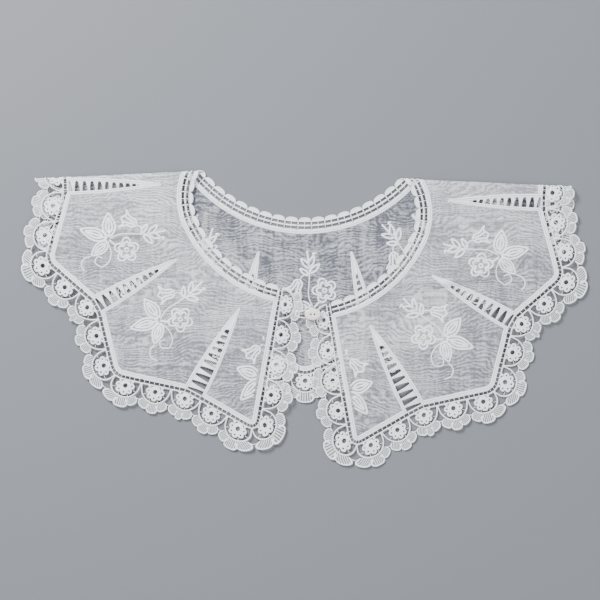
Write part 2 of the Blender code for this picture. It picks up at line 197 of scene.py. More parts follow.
def away_from(points: Array, outline: Array) -> Array:
    """Return how far each point lies from the nearest point of a finely stepped outline.

    Args:
        points: The points to measure from.
        outline: Points along the outline.

    Returns:
        The distance of each point.
    """
    starts = range(0, len(points), MEASURED_AT_ONCE)
    parts = [points[low : low + MEASURED_AT_ONCE] for low in starts]
    gaps = [np.linalg.norm(part[:, None] - outline[None], axis=2).min(axis=1) for part in parts]
    return np.concatenate(gaps) if gaps else np.zeros(0)


# ---------------------------------------------------------------------------------------------
# Surfaces
# ---------------------------------------------------------------------------------------------


@dataclass
class Surface:
    """A surface drawn on the flat draft.

    Attributes:
        points: x and y on the draft and height above the middle of the cloth, in millimetres.
        faces: Four corners of each face.
        stitch: Millimetres along and across the stitches, for the thread's texture.
        openness: At each point, 0 on solid thread and 1 on a ribbed ground that shows through and
            is painted darker as shade.
        relief: At each point, 1 where the shape always lies on top of the cloth, and 0 on a
            thread that goes through its middle and turns over with it.
    """

    points: Array
    faces: Array
    stitch: Array
    openness: Array = field(default_factory=lambda: np.zeros(0))
    relief: Array = field(default_factory=lambda: np.zeros(0))

    def __post_init__(self) -> None:
        """Take a surface for a solid relief when nothing else is said."""
        if len(self.openness) != len(self.points):
            self.openness = np.zeros(len(self.points))
        if len(self.relief) != len(self.points):
            self.relief = np.ones(len(self.points))

    def turned_over(self) -> "Surface":
        """Return the surface with its faces turned over."""
        return Surface(self.points, self.faces[:, ::-1], self.stitch, self.openness, self.relief)

    def mirrored(self) -> "Surface":
        """Return the surface on the other half of the draft."""
        points = self.points * (-1.0, 1.0, 1.0)
        return Surface(points, self.faces[:, ::-1], self.stitch, self.openness, self.relief)


def joined(surfaces: Iterable[Surface]) -> Surface:
    """Return several surfaces as one.

    Args:
        surfaces: The surfaces, in the order that their points take.

    Returns:
        One surface with all their points and faces.
    """
    parts = list(surfaces)
    starts = np.cumsum([0] + [len(part.points) for part in parts[:-1]])
    return Surface(
        np.vstack([part.points for part in parts]),
        np.vstack([part.faces + start for part, start in zip(parts, starts)]),
        np.vstack([part.stitch for part in parts]),
        np.concatenate([part.openness for part in parts]),
        np.concatenate([part.relief for part in parts]),
    )


def net(rows: int, columns: int, ring: bool = False) -> Array:
    """Return the four-cornered faces of a grid of points whose columns may close into a ring.

    Args:
        rows: How many rows the grid has.
        columns: How many points a row has.
        ring: Whether each row closes on itself.

    Returns:
        Four corners of each face.
    """
    across = columns if ring else columns - 1
    row, column = np.meshgrid(np.arange(rows - 1), np.arange(across), indexing="ij")
    low = row * columns + column
    side = row * columns + (column + 1) % columns
    return np.stack([low, side, side + columns, low + columns], axis=-1).reshape(-1, 4)


def end_caps(rows: int, sides: int) -> Array:
    """Return the faces that close both ends of a tube, four corners at a time.

    Args:
        rows: How many rings of points the tube has.
        sides: How many points a ring has, an even number.

    Returns:
        Four corners of each face.
    """
    faces = []
    for first, step in ((0, -1), ((rows - 1) * sides, 1)):
        for k in range(1, sides // 2):
            corners = (0, 2 * k - 1, 2 * k, 2 * k + 1)
            faces.append([first + corner for corner in corners[::step]])
    return np.array(faces)


def cord(
    line: Array, half_width: float, half_height: float, ring: bool = False, sides: int = 6
) -> Surface:
    """Lay a thread or a corded stitch along a line.

    Formula: round each point of the line runs an oval, across the line and upwards, and the
    ovals at an open line's ends are half as large.

    Args:
        line: Points on the draft; a ring's first point isn't repeated.
        half_width: Half the thread's width on the cloth.
        half_height: Half its height.
        ring: Whether the thread closes on itself.
        sides: How many sides its oval has.

    Returns:
        The thread's surface.
    """
    if ring:
        forward = np.roll(line, -1, axis=0) - np.roll(line, 1, axis=0)
        run = lengths_along(closed(line))[:-1]
    else:
        forward = np.gradient(line, axis=0)
        run = lengths_along(line)
    across = turned(unit(forward))
    angle = np.arange(sides) * 2.0 * math.pi / sides
    size = np.ones(len(line))
    if not ring:
        size[[0, -1]] = 0.5
    wide = half_width * size[:, None] * np.cos(angle)
    tall = half_height * size[:, None] * np.sin(angle)
    flat = line[:, None] + across[:, None] * wide[..., None]
    points = np.concatenate([flat, tall[..., None]], axis=2).reshape(-1, 3)
    grid = np.stack(np.broadcast_arrays(run[:, None], (half_width * angle)[None, :]), axis=-1)
    if ring:
        faces = net(len(line) + 1, sides, True) % (len(line) * sides)
    else:
        faces = np.vstack([net(len(line), sides, True), end_caps(len(line), sides)])
    through = np.zeros(len(points))
    return Surface(points, faces[:, ::-1], grid.reshape(-1, 2), through, through)


def ribbon(line: Array, inward: Array, profile: Sequence[Sequence[float]], ring: bool) -> Surface:
    """Carry a profile along a line.

    Formula: each point of the line is moved inwards by the profile's reach and raised by its
    height.

    Args:
        line: Points on the draft; a ring's first point isn't repeated.
        inward: The direction of the profile at each point.
        profile: Rows of reach and height.
        ring: Whether the line closes on itself.

    Returns:
        The ribbon's surface.
    """
    shape = np.asarray(profile, dtype=float)
    flat = line[:, None] + inward[:, None] * shape[None, :, :1]
    height = np.broadcast_to(shape[None, :, 1:], flat.shape[:2] + (1,))
    points = np.concatenate([flat, height], axis=2).reshape(-1, 3)
    run = lengths_along(line)
    grid = np.stack(np.broadcast_arrays(run[:, None], shape[None, :, 0]), axis=-1)
    faces = net(len(line) + (1 if ring else 0), len(shape))
    return Surface(points, faces[:, ::-1] % len(points), grid.reshape(-1, 2))


def collar_ring(x: float, y: float, profile: Sequence[Sequence[float]], steps: int) -> Surface:
    """Turn a profile round a point of the draft.

    Formula: a point at distance r and angle a lies r sin(a) sideways and r cos(a) outwards.

    Args:
        x: The ring's middle, sideways.
        y: The ring's middle, outwards.
        profile: Rows of distance from the middle and height.
        steps: How many steps it takes round.

    Returns:
        The ring's surface.
    """
    shape = np.asarray(profile, dtype=float)
    angle = np.arange(steps) * 2.0 * math.pi / steps
    wide = x + shape[:, :1] * np.sin(angle)
    out = y + shape[:, :1] * np.cos(angle)
    high = np.broadcast_to(shape[:, 1:], wide.shape)
    points = np.stack([wide, out, high], axis=-1).reshape(-1, 3)
    run = np.broadcast_to(angle[None, :] * shape[:, :1].mean(), wide.shape)
    stitch = np.stack([run, np.broadcast_to(shape[:, :1], wide.shape)], axis=-1).reshape(-1, 2)
    return Surface(points, net(len(shape), steps, True), stitch)


# ---------------------------------------------------------------------------------------------
# The flat draft
# ---------------------------------------------------------------------------------------------


@dataclass(frozen=True)
class Ladder:
    """A wedge of drawn threads, from its tip in the cloth to its end at the hem.

    Attributes:
        name: Where it stands on the collar.
        tip: Its tip on the draft.
        end: The middle of its end on the draft.
        end_width: Its width there, with its corded edges.
        tip_width: Its width at the tip, with its corded edges.
        edge: The width of each corded edge, which leaves the slit between them.
    """

    name: str
    tip: tuple[float, float]
    end: tuple[float, float]
    end_width: float
    tip_width: float = 2.6
    edge: float = 2.5

    def length(self) -> float:
        """Return the distance from the tip to the end."""
        return float(np.linalg.norm(np.subtract(self.end, self.tip)))

    def along(self) -> Array:
        """Return the direction from the tip to the end."""
        return unit(np.subtract(self.end, self.tip))

    def half_width(self, share: Array) -> Array:
        """Return half the slit's width at shares of the length, by a quarter turn's sine.

        Args:
            share: Shares of the length, 0 at the tip and 1 at the end.

        Returns:
            Half the width at each, in millimetres.
        """
        grown = np.sin(np.asarray(share) * math.pi / 2.0)
        whole = 0.5 * (self.tip_width + (self.end_width - self.tip_width) * grown)
        return np.maximum(whole - self.edge, 0.2)

    def side(self, side: float, shares: Array, inset: float = 0.0) -> Array:
        """Return points of one long side of the slit.

        Args:
            side: +1 towards the centre front, -1 towards the back.
            shares: Shares of the length.
            inset: How far the points lie within the slit's edge.

        Returns:
            Points on the draft.
        """
        shares = np.asarray(shares, dtype=float)
        across = -turned(self.along())
        out = np.asarray(self.tip) + (shares * self.length())[:, None] * self.along()
        return out + side * (self.half_width(shares) - inset)[:, None] * across


LADDERS = (
    Ladder("front", (61.7, 114.6), (101.8, 175.3), 17.9),
    Ladder("chest", (106.7, 71.7), (170.3, 100.8), 15.6),
    Ladder("shoulder", (113.7, 12.2), (185.0, 7.0), 13.4),
    Ladder("blade", (84.0, -34.0), (135.0, -81.0), 14.0),
    Ladder("nape", (36.3, -62.9), (52.5, -132.0), 14.0),
)


@dataclass(frozen=True)
class Draft:
    """The cut of the collar: an open ring with an oval neck and a hem of straight stretches.

    Attributes:
        neck_back: Radius and height of the middle of the back neck arc.
        neck_front: Radius and height of the middle of the front neck arc.
        neck_side: Radius of the arcs that join them.
        front_half_gap: From the middle to a front's neck corner.
        hem_points: x, y and corner radius of the hem's points, from front to back.
        arc_steps: How many parts each neck arc is cut into.
        corner_steps: How many parts each corner of the hem is cut into.
    """

    neck_back: tuple[float, float] = (114.5, 68.6)
    neck_front: tuple[float, float] = (102.5, 11.5)
    neck_side: float = 53.0
    front_half_gap: float = 31.4
    hem_points: tuple[tuple[float, float, float], ...] = (
        (58.1, 205.8, 3.0),
        (161.0, 154.6, 9.0),
        (204.5, 62.6, 9.0),
        (183.8, -50.0, 9.0),
        (108.0, -129.5, 9.0),
        (0.0, -155.5, 12.0),
    )
    arc_steps: int = 36
    corner_steps: int = 8

    def neck_half(self) -> Array:
        """Return the right half of the neck edge, from the centre back to the front corner.

        Returns:
            Points on the draft, with the corner last.
        """
        back_radius, back_middle = self.neck_back
        front_radius, front_middle = self.neck_front
        to_back = back_radius - self.neck_side
        to_front = front_radius - self.neck_side
        apart = back_middle - front_middle
        below = (to_back**2 - to_front**2 + apart**2) / (2.0 * apart)
        middle = (math.sqrt(to_back**2 - below**2), back_middle - below)
        back_end = math.atan2(middle[0], below)
        side_end = math.atan2(middle[0], front_middle - middle[1])
        front_end = math.pi - math.asin(self.front_half_gap / front_radius)
        arcs = (
            ((0.0, back_middle), back_radius, 0.0, back_end),
            (middle, self.neck_side, back_end, side_end),
            ((0.0, front_middle), front_radius, side_end, front_end),
        )
        rows = []
        for centre, radius, start, end in arcs:
            angle = np.linspace(start, end, self.arc_steps + 1)[:-1]
            arc = np.stack([np.sin(angle), -np.cos(angle)], axis=1)
            rows.append(np.asarray(centre) + radius * arc)
        sideways, outward = math.sin(front_end), -math.cos(front_end)
        corner = (front_radius * sideways, front_middle + front_radius * outward)
        return np.vstack([*rows, [corner]])

    def neck_line(self) -> Array:
        """Return the neck edge from the left front's corner round the back to the right's."""
        half = self.neck_half()
        return np.vstack([(half * (-1.0, 1.0))[::-1][:-1], half])

    def rounded(self, before: Array, corner: Array, after: Array, radius: float) -> Array:
        """Return the points that round one corner of the hem with an arc of the radius.

        Args:
            before: The stop before the corner.
            corner: The corner itself.
            after: The stop after it.
            radius: The arc's radius.

        Returns:
            The arc's points.
        """
        arriving, leaving = unit(before - corner), unit(after - corner)
        half_angle = 0.5 * math.acos(float(np.dot(arriving, leaving)))
        bisector = unit(arriving + leaving)
        centre = corner + bisector * radius / math.sin(half_angle)
        sweep = math.pi / 2.0 - half_angle
        side = turned(bisector)
        side = -side if np.dot(side, arriving) < 0.0 else side
        angle = np.linspace(sweep, -sweep, self.corner_steps + 1)[:, None]
        return centre + radius * (side * np.sin(angle) - bisector * np.cos(angle))

    def half_hem(self, notched: bool) -> Array:
        """Return the right half of the hem, from the front's neck corner to the centre back.

        Args:
            notched: Whether the line runs up into the ladders' slits.

        Returns:
            Points on the draft.
        """
        stops = [self.neck_half()[-1]]
        for point, ladder in zip(self.hem_points, LADDERS):
            ends = [ladder.side(1.0, np.ones(1))[0], ladder.side(-1.0, np.ones(1))[0]]
            stops += [np.array(point[:2]), *ends]
        stops += [np.array(self.hem_points[-1][:2]), stops[-1] * (-1.0, 1.0)]
        rows = [np.array(stops[:1])]
        shares = np.linspace(0.0, 1.0, 13)
        for k, point in enumerate(self.hem_points):
            at = 3 * k + 1
            rows.append(self.rounded(stops[at - 1], stops[at], stops[at + 1], point[2]))
            if k < len(LADDERS):
                near = LADDERS[k].side(1.0, shares)
                far = LADDERS[k].side(-1.0, shares)
                rows.append(np.vstack([near[::-1], far] if notched else [near[-1:], far[-1:]]))
        line = np.vstack(rows)
        return line[line[:, 0] >= -1e-6]

    def hem(self, notched: bool) -> Array:
        """Return the hem from the right front's neck corner round the back to the left's."""
        half = self.half_hem(notched)
        return np.vstack([half, (half * (-1.0, 1.0))[::-1][1:]])

    def outline(self, step: float, notched: bool = True) -> Array:
        """Return the cut edge of the cloth, stepped evenly, running counterclockwise.

        Args:
            step: The distance between its points.
            notched: Whether the line runs up into the ladders' slits.

        Returns:
            Points on the draft, without the first one repeated.
        """
        ring = np.vstack([self.neck_line()[:-1], self.hem(notched)[:-1]])
        line = evenly(closed(ring), step)[:-1]
        after = np.roll(line, -1, axis=0)
        turn = np.sum(line[:, 0] * after[:, 1] - after[:, 0] * line[:, 1])
        return line if turn > 0.0 else line[::-1]


# ---------------------------------------------------------------------------------------------
# How it lies
# ---------------------------------------------------------------------------------------------


@dataclass(frozen=True)
class Crease:
    """A soft ridge or trough of a front, on the plan, in millimetres."""

    start: tuple[float, float]
    end: tuple[float, float]
    height: float
    width: float
    bow: float = 0.0


@dataclass
class Lay:
    """Lays the flat draft down: both fronts roll over the shoulders and settle on the back.

    Attributes:
        cloth: Thickness of the cloth's solid, with the cloth in its middle.
        seam: Gap between the layers' solids.
        roll_radius: Outside radius of the rolled shoulder.
        settle: Length over which a front comes down from the roll.
        back_reach: Distance from the back neck arc's middle to the end of the back.
        fall: Length over which a front comes down past the back's end.
        shoulders: Height and slope in degrees of each shoulder's fold, left and right.
        fold_at: Distance from the middle at which those heights hold.
    """

    draft: Draft
    cloth: float = 1.0
    seam: float = 0.3
    roll_radius: float = 2.2
    settle: float = 26.0
    back_reach: float = 248.0
    fall: float = 24.0
    shoulders: tuple[tuple[float, float], ...] = ((2.6, 2.65), (-3.7, 2.65))
    fold_at: float = 80.0
    creases: tuple[Crease, ...] = (
        Crease((-90.0, -40.0), (-182.0, -64.0), 1.2, 6.0, 6.0),
        Crease((-70.0, -62.0), (-150.0, -104.0), -0.9, 9.0, -8.0),
        Crease((-60.0, -92.0), (-128.0, -142.0), 1.3, 6.0, 5.0),
        Crease((-44.0, -98.0), (-84.0, -92.0), 1.1, 4.0, 3.0),
        Crease((-52.0, -112.0), (-80.0, -176.0), 0.9, 6.0, 4.0),
        Crease((-112.0, -18.0), (-178.0, -20.0), -0.6, 8.0, 3.0),
        Crease((74.0, -86.0), (160.0, -66.0), 1.7, 3.4, 9.0),
        Crease((78.0, -90.0), (166.0, -82.0), -1.0, 7.0, 8.0),
        Crease((66.0, -94.0), (132.0, -122.0), -0.9, 10.0, 6.0),
        Crease((40.0, -104.0), (78.0, -106.0), 1.2, 3.6, 3.0),
        Crease((44.0, -130.0), (112.0, -158.0), 1.2, 6.0, -5.0),
        Crease((96.0, -36.0), (176.0, -84.0), 0.8, 8.0, -7.0),
        Crease((118.0, -24.0), (184.0, -34.0), -0.5, 9.0, -3.0),
        Crease((46.0, -118.0), (66.0, -196.0), 1.0, 5.0, 4.0),
    )
    shift: Array = field(init=False)

    def __post_init__(self) -> None:
        """Find where the draft's zero lies in the frame, from the button's place on both."""
        low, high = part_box("button")
        middle = (np.array(low) + np.array(high))[:2] / 2.0 / MM
        self.shift = np.array([*(middle - Fastening.button_at), 0.0])

    def half_roll(self) -> float:
        """Return half the length of cloth that goes round the roll."""
        return math.pi * self.roll_radius / 2.0

    def fold(self, layer: Layer) -> tuple[Array, Array]:
        """Return a point on one shoulder's fold line and the direction ahead of it.

        Args:
            layer: The front that folds there.

        Returns:
            The point, and the direction with length one.
        """
        sign = float(layer.value)
        height, fall = self.shoulders[0 if sign < 0.0 else 1]
        slope = math.radians(fall) * -sign
        way = np.array([-math.sin(slope), math.cos(slope)])
        return np.array([sign * self.fold_at, height]), way

    def ahead(self, flat: Array) -> tuple[Array, Array]:
        """Return how far each draft point lies ahead of its shoulder's fold, and which way.

        Args:
            flat: Points on the draft.

        Returns:
            The distance of each, negative behind the fold, and the direction ahead.
        """
        ahead, forward = np.zeros(len(flat)), np.zeros((len(flat), 2))
        for layer in (Layer.LEFT_FRONT, Layer.RIGHT_FRONT):
            anchor, way = self.fold(layer)
            mine = flat[:, 0] < 0.0 if layer is Layer.LEFT_FRONT else flat[:, 0] >= 0.0
            ahead[mine] = (flat[mine, :2] - anchor) @ way
            forward[mine] = way
        return ahead, forward

    def unfolded(self, plan: Array, layer: Layer) -> Array:
        """Return where points of the plan lie on the flat draft.

        Args:
            plan: Points seen from above, on the layer.
            layer: The layer that they lie on.

        Returns:
            The same points on the draft: a front is mirrored in its fold line, the back stays.
        """
        if layer is Layer.BACK:
            return np.array(plan, dtype=float)
        anchor, way = self.fold(layer)
        distance = (np.asarray(plan) - anchor) @ way
        return plan - 2.0 * distance[:, None] * way

    def waves(self, plan: Array) -> Array:
        """Return how far a front lifts in soft waves and creases.

        Formula: a base height, plus five slow waves in different directions, plus each crease's
        height times a bell across its line, faded out at its ends; never less than nothing.

        Args:
            plan: Points seen from above.

        Returns:
            The lift at each point, in millimetres.
        """
        x, y = plan[:, 0], plan[:, 1]
        lift = np.full(len(plan), 0.75)
        for height, along_x, along_y, start in (
            (0.34, 0.052, 0.021, 0.4),
            (0.30, -0.031, 0.066, 1.9),
            (0.20, 0.094, -0.058, 4.2),
            (0.16, 0.040, 0.147, 2.6),
            (0.12, 0.173, 0.061, 0.9),
        ):
            bend = 0.6 * np.sin(0.024 * y - 0.017 * x)
            lift += height * np.sin(along_x * x + along_y * y + start + bend)
        for crease in self.creases:
            start, end = np.array(crease.start), np.array(crease.end)
            way, run = unit(end - start), float(np.linalg.norm(end - start))
            share = ((plan - start) @ way) / run
            bow = crease.bow * np.sin(np.clip(share, 0.0, 1.0) * math.pi)
            across = (plan - start) @ turned(way) - bow
            fade = smoothstep((share + 0.15) / 0.4) * smoothstep((1.15 - share) / 0.4)
            lift += crease.height * fade * np.exp(-((across / crease.width) ** 2))
        return np.maximum(lift, 0.0)

    def rest_waves(self, plan: Array) -> Array:
        """Return how far the back lifts off the surface, in slow shallow waves.

        Args:
            plan: Points seen from above.

        Returns:
            The lift at each point, in millimetres.
        """
        x, y = plan[:, 0], plan[:, 1]
        slow = 0.16 * np.sin(0.05 * x + 0.03 * y) + 0.12 * np.sin(0.085 * x - 0.07 * y + 2.0)
        return 0.26 + slow

    def place(self, drawn: Array, relief: Array | float = 0.0) -> Array:
        """Lay drawn points down.

        Formula: behind the fold the cloth lies flat; round the fold it follows half a circle;
        ahead of it the cloth runs back over itself, comes down onto the back within the settling
        length, and past the back's end onto the surface. The height of a relief points up on
        every layer, and any other turns over with the cloth.

        Args:
            drawn: x and y on the draft and height above the middle of the cloth.
            relief: 1 at each point of a relief, and 0 elsewhere.

        Returns:
            Their places in the frame, in metres.
        """
        ahead, forward = self.ahead(drawn)
        half = self.half_roll()
        upward = relief * np.clip(ahead / half, -1.0, 1.0) - (1.0 - relief)
        level = self.cloth / 2.0 - drawn[:, 2] * upward
        angle = np.clip((ahead + half) / self.roll_radius, 0.0, math.pi)
        radius = self.roll_radius - level
        rolled = radius * np.sin(angle) - half
        along = np.where(ahead < -half, ahead, np.where(ahead > half, -ahead, rolled))
        plan = drawn[:, :2] + forward * (along - ahead)[:, None]
        height = self.roll_radius - radius * np.cos(angle)
        lift = 2.0 * self.roll_radius - 2.0 * self.cloth - self.seam
        height -= lift * smoothstep((ahead - half) / self.settle)
        past = np.hypot(plan[:, 0], plan[:, 1] - self.draft.neck_back[1]) - self.back_reach
        fallen = (self.cloth + self.seam) * smoothstep(past / self.fall)
        height -= np.where(ahead > half, fallen, 0.0)
        free = smoothstep((ahead - half) / self.settle)
        height += self.rest_waves(plan) + free * self.waves(plan)
        return (np.column_stack([plan, height]) + self.shift) * MM


# ---------------------------------------------------------------------------------------------
# Finishes
# ---------------------------------------------------------------------------------------------


class Signal:
    """A shader value that can be added, taken away, multiplied and bent like a number."""

    def __init__(self, bench: "Bench", socket: bpy.types.NodeSocket) -> None:
        """Wrap an output socket of the bench's tree."""
        self.bench, self.socket = bench, socket

    def _with(self, operation: str, *others: "Signal | float") -> "Signal":
        """Return the result of one Math node on this value and others."""
        values = dict(enumerate((self, *others)))
        return self.bench.add("ShaderNodeMath", {"operation": operation}, values)

    def __add__(self, other: "Signal | float") -> "Signal":
        """Return the sum."""
        return self._with("ADD", other)

    def __radd__(self, other: float) -> "Signal":
        """Return the sum, from the right."""
        return self._with("ADD", other)

    def __sub__(self, other: "Signal | float") -> "Signal":
        """Return the difference."""
        return self._with("SUBTRACT", other)

    def __rsub__(self, other: float) -> "Signal":
        """Return the difference, from the right."""
        return (self * -1.0) + other

    def __mul__(self, other: "Signal | float") -> "Signal":
        """Return the product."""
        return self._with("MULTIPLY", other)

    def __rmul__(self, other: float) -> "Signal":
        """Return the product, from the right."""
        return self._with("MULTIPLY", other)

    def sine(self) -> "Signal":
        """Return the sine."""
        return self._with("SINE")

    def clamped(self) -> "Signal":
        """Return the value held between 0 and 1."""
        return self.bench.add("ShaderNodeClamp", {}, {"Value": self})

    def blend(self, low: tuple[float, ...], high: tuple[float, ...]) -> "Signal":
        """Return the colour between two colours, with this value as the share of the second."""
        return self.bench.mix(self, low, high)


class Bench:
    """Builds one material's shader nodes."""

    def __init__(self, name: str) -> None:
        """Start a material with its principled shader.

        Args:
            name: The material's name.
        """
        self.material = bpy.data.materials.new(name)
        self.material.use_nodes = True
        self.tree = self.material.node_tree
        self.shader = self.tree.nodes["Principled BSDF"]

    def add(self, kind: str, settings: dict, values: dict, output: int | str = 0) -> Signal:
        """Add a node.

        Args:
            kind: The node's type.
            settings: Its own settings by name.
            values: A number, colour, vector or signal for each input, by name or position.
            output: The output to return.

        Returns:
            The chosen output.
        """
        node = self.tree.nodes.new(kind)
        for name, value in settings.items():
            setattr(node, name, value)
        for name, value in values.items():
            self.feed(node.inputs[name], value)
        return Signal(self, node.outputs[output])

    def feed(self, socket: bpy.types.NodeSocket, value: object) -> None:
        """Link a signal to an input, or set the input's own value.

        Args:
            socket: The input.
            value: A signal, or a number, colour or vector.
        """
        if isinstance(value, Signal):
            self.tree.links.new(value.socket, socket)
        else:
            socket.default_value = value

    def finish(self, **values: object) -> bpy.types.Material:
        """Feed the principled shader's inputs and return the material.

        Args:
            values: A value for each input, by its name with _ for a space.

        Returns:
            The finished material.
        """
        for name, value in values.items():
            self.feed(self.shader.inputs[name.replace("_", " ")], value)
        return self.material

    def place(self) -> Signal:
        """Return the place on the piece, in metres."""
        return self.add("ShaderNodeTexCoord", {}, {}, "Object")

    def mix(self, share: Signal | float, low: object, high: object, blend: str = "MIX") -> Signal:
        """Return a colour mixed from two.

        Args:
            share: The share of the second colour.
            low: The first colour.
            high: The second colour.
            blend: How the second one is laid on the first.

        Returns:
            The mixed colour.
        """
        node = self.tree.nodes.new("ShaderNodeMix")
        node.data_type, node.blend_type = "RGBA", blend
        for at, value in ((0, share), (6, low), (7, high)):
            self.feed(node.inputs[at], value)
        return Signal(self, node.outputs[2])

    def noise(
        self, vector: Signal, scale: float, detail: float = 2.0, distortion: float = 0.0
    ) -> Signal:
        """Return soft noise between 0 and 1."""
        values = {"Vector": vector, "Scale": scale, "Detail": detail, "Distortion": distortion}
        return self.add("ShaderNodeTexNoise", {}, values, 0)

    def stretched(
        self, vector: Signal, scale: tuple[float, float, float], turn: float = 0.0
    ) -> Signal:
        """Return a place stretched and turned about Z."""
        values = {"Vector": vector, "Scale": scale, "Rotation": (0.0, 0.0, turn)}
        return self.add("ShaderNodeMapping", {}, values)

    def bump(self, height: Signal, depth: float, strength: float = 1.0) -> Signal:
        """Return a normal bumped by a height times a depth in metres."""
        values = {"Height": height, "Distance": depth, "Strength": strength}
        return self.add("ShaderNodeBump", {}, values)


def rgba(red: float, green: float, blue: float) -> tuple[float, float, float, float]:
    """Return an opaque colour."""
    return (red, green, blue, 1.0)


@dataclass(frozen=True)
class SheerFinish:
    """Sheer slubby cotton organdie, with painted shade and painted light: cool grey where it lies
    alone, whiter where other layers lie beneath it and near the roll.
    """

    # Painted shade where the cloth lies alone, and painted light where it lies over another layer.
    single_painted_shade: tuple[float, ...] = rgba(0.155, 0.163, 0.195)
    painted_light: tuple[float, ...] = rgba(0.53, 0.535, 0.56)
    cover: float = 0.82
    grain: float = 2200.0

    def make(self) -> bpy.types.Material:
        """Return the material: slubs and watered grain in colour, cover and bump, over painted
        shade and painted light.

        Returns:
            The new material.
        """
        bench = Bench("sheer_organdie")
        place = bench.place()
        # Painted light: the share of the lighter colour, from the layers beneath and near the roll.
        layers = bench.add("ShaderNodeAttribute", {"attribute_name": "painted_light"}, {}, "Fac")
        drift = bench.noise(place, 16.0, 3.0)
        swirl = bench.noise(bench.stretched(place, (16.0, 30.0, 1.0)), 1.0, 1.0)
        ripple = bench.noise(place, 95.0, 1.0)
        slub = bench.noise(bench.stretched(place, (34.0, 400.0, 1.0), 0.05), 1.0, 3.0, 0.8)
        warp = bench.noise(bench.stretched(place, (480.0, 60.0, 1.0), -0.04), 1.0, 2.0, 0.6)
        grain = place_axis(bench, place, 1, self.grain) + swirl * 110.0 + ripple * 18.0
        water = grain.sine() * 0.5 + 0.5
        patch = bench.noise(place, 38.0, 2.0)
        fuzz = bench.noise(bench.stretched(place, (420.0, 760.0, 1.0)), 1.0, 2.0)
        columns = bench.noise(bench.stretched(place, (120.0, 13.0, 1.0), 0.1), 1.0, 2.0, 0.5)
        fall = (columns - 0.5) * (1.0 - layers * 1.3) * 1.1
        tone = fall + slub * 0.9 + warp * 0.6 + water * patch * 0.75 + drift * 0.8
        tone = tone + patch * 0.3 + fuzz * 1.2
        # Painted shade and painted light make the base colour.
        base = layers.blend(self.single_painted_shade, self.painted_light)
        worn = bench.mix(1.0, base, rgba(0.50, 0.51, 0.55), "MULTIPLY")
        light = bench.mix(0.38, base, rgba(0.86, 0.87, 0.90))
        shade = (tone * 1.5 - 2.72).clamped()
        colour = bench.mix(shade, worn, light)
        warps, wefts = (place_axis(bench, place, axis, self.grain).sine() for axis in (0, 1))
        weave = warps * wefts * 0.1
        height = slub * 0.6 + warp * 0.3 + water * patch * 0.6 + fuzz * 0.4 + weave
        return bench.finish(
            Base_Color=colour,
            Alpha=(slub * 0.2 + water * 0.04 + (self.cover - 0.12)).clamped(),
            Roughness=0.6,
            Sheen_Weight=0.25,
            Sheen_Roughness=0.5,
            Normal=bench.bump(height, 0.0005, 0.75),
        )


def place_axis(bench: Bench, place: Signal, axis: int, scale: float) -> Signal:
    """Return one axis of a place times a scale."""
    return bench.add("ShaderNodeSeparateXYZ", {}, {0: place}, axis) * scale


@dataclass(frozen=True)
class ThreadFinish:
    """Cotton thread, wound or stitched in ribs across the line that it follows, with painted shade
    between the ribs.
    """

    name: str
    colour: tuple[float, ...] = rgba(0.90, 0.905, 0.92)
    # The dip colour is painted shade between the ribs and on the open ground, and a random tone.
    dip: tuple[float, ...] = rgba(0.50, 0.52, 0.58)
    pitch: float = 0.8
    depth: float = 0.12
    shaded: float = 0.45

    def make(self) -> bpy.types.Material:
        """Return the material: ribs along the stitch map, painted shade between the ribs and on the
        open ground, and a soft uneven whiteness.

        Returns:
            The new material.
        """
        bench = Bench(self.name)
        place = bench.place()
        stitch = bench.add("ShaderNodeUVMap", {"uv_map": "stitch"}, {})
        wander = bench.noise(place, 900.0, 2.0)
        along = bench.add("ShaderNodeSeparateXYZ", {}, {0: stitch}, 0)
        rib = (along * (2.0 * math.pi / self.pitch) + wander * 2.4).sine() * 0.5 + 0.5
        fuzz = bench.noise(place, 2600.0, 3.0)
        cloud = bench.noise(place, 60.0, 2.0)
        # Painted shade in the valleys between the ribs, plus random tone from the noise.
        shade_and_tone_share = ((1.0 - rib) * self.shaded + (fuzz * 0.5 + cloud * 0.5 - 0.45) * 0.7).clamped()
        height = rib * 0.75 + fuzz * 0.25
        ground = bench.add("ShaderNodeAttribute", {"attribute_name": "openness"}, {}, "Fac")
        # Painted shade on the open ground, which also shows through.
        shade_and_tone_share = (shade_and_tone_share + ground * (1.0 - rib * 0.7) * 0.8).clamped()
        return bench.finish(
            Base_Color=shade_and_tone_share.blend(self.colour, self.dip),
            Alpha=(1.0 - ground * (1.12 - rib * 0.95)).clamped(),
            Roughness=0.78,
            Sheen_Weight=0.35,
            Sheen_Roughness=0.6,
            Normal=bench.bump(height, self.depth * MM, 0.8),
        )


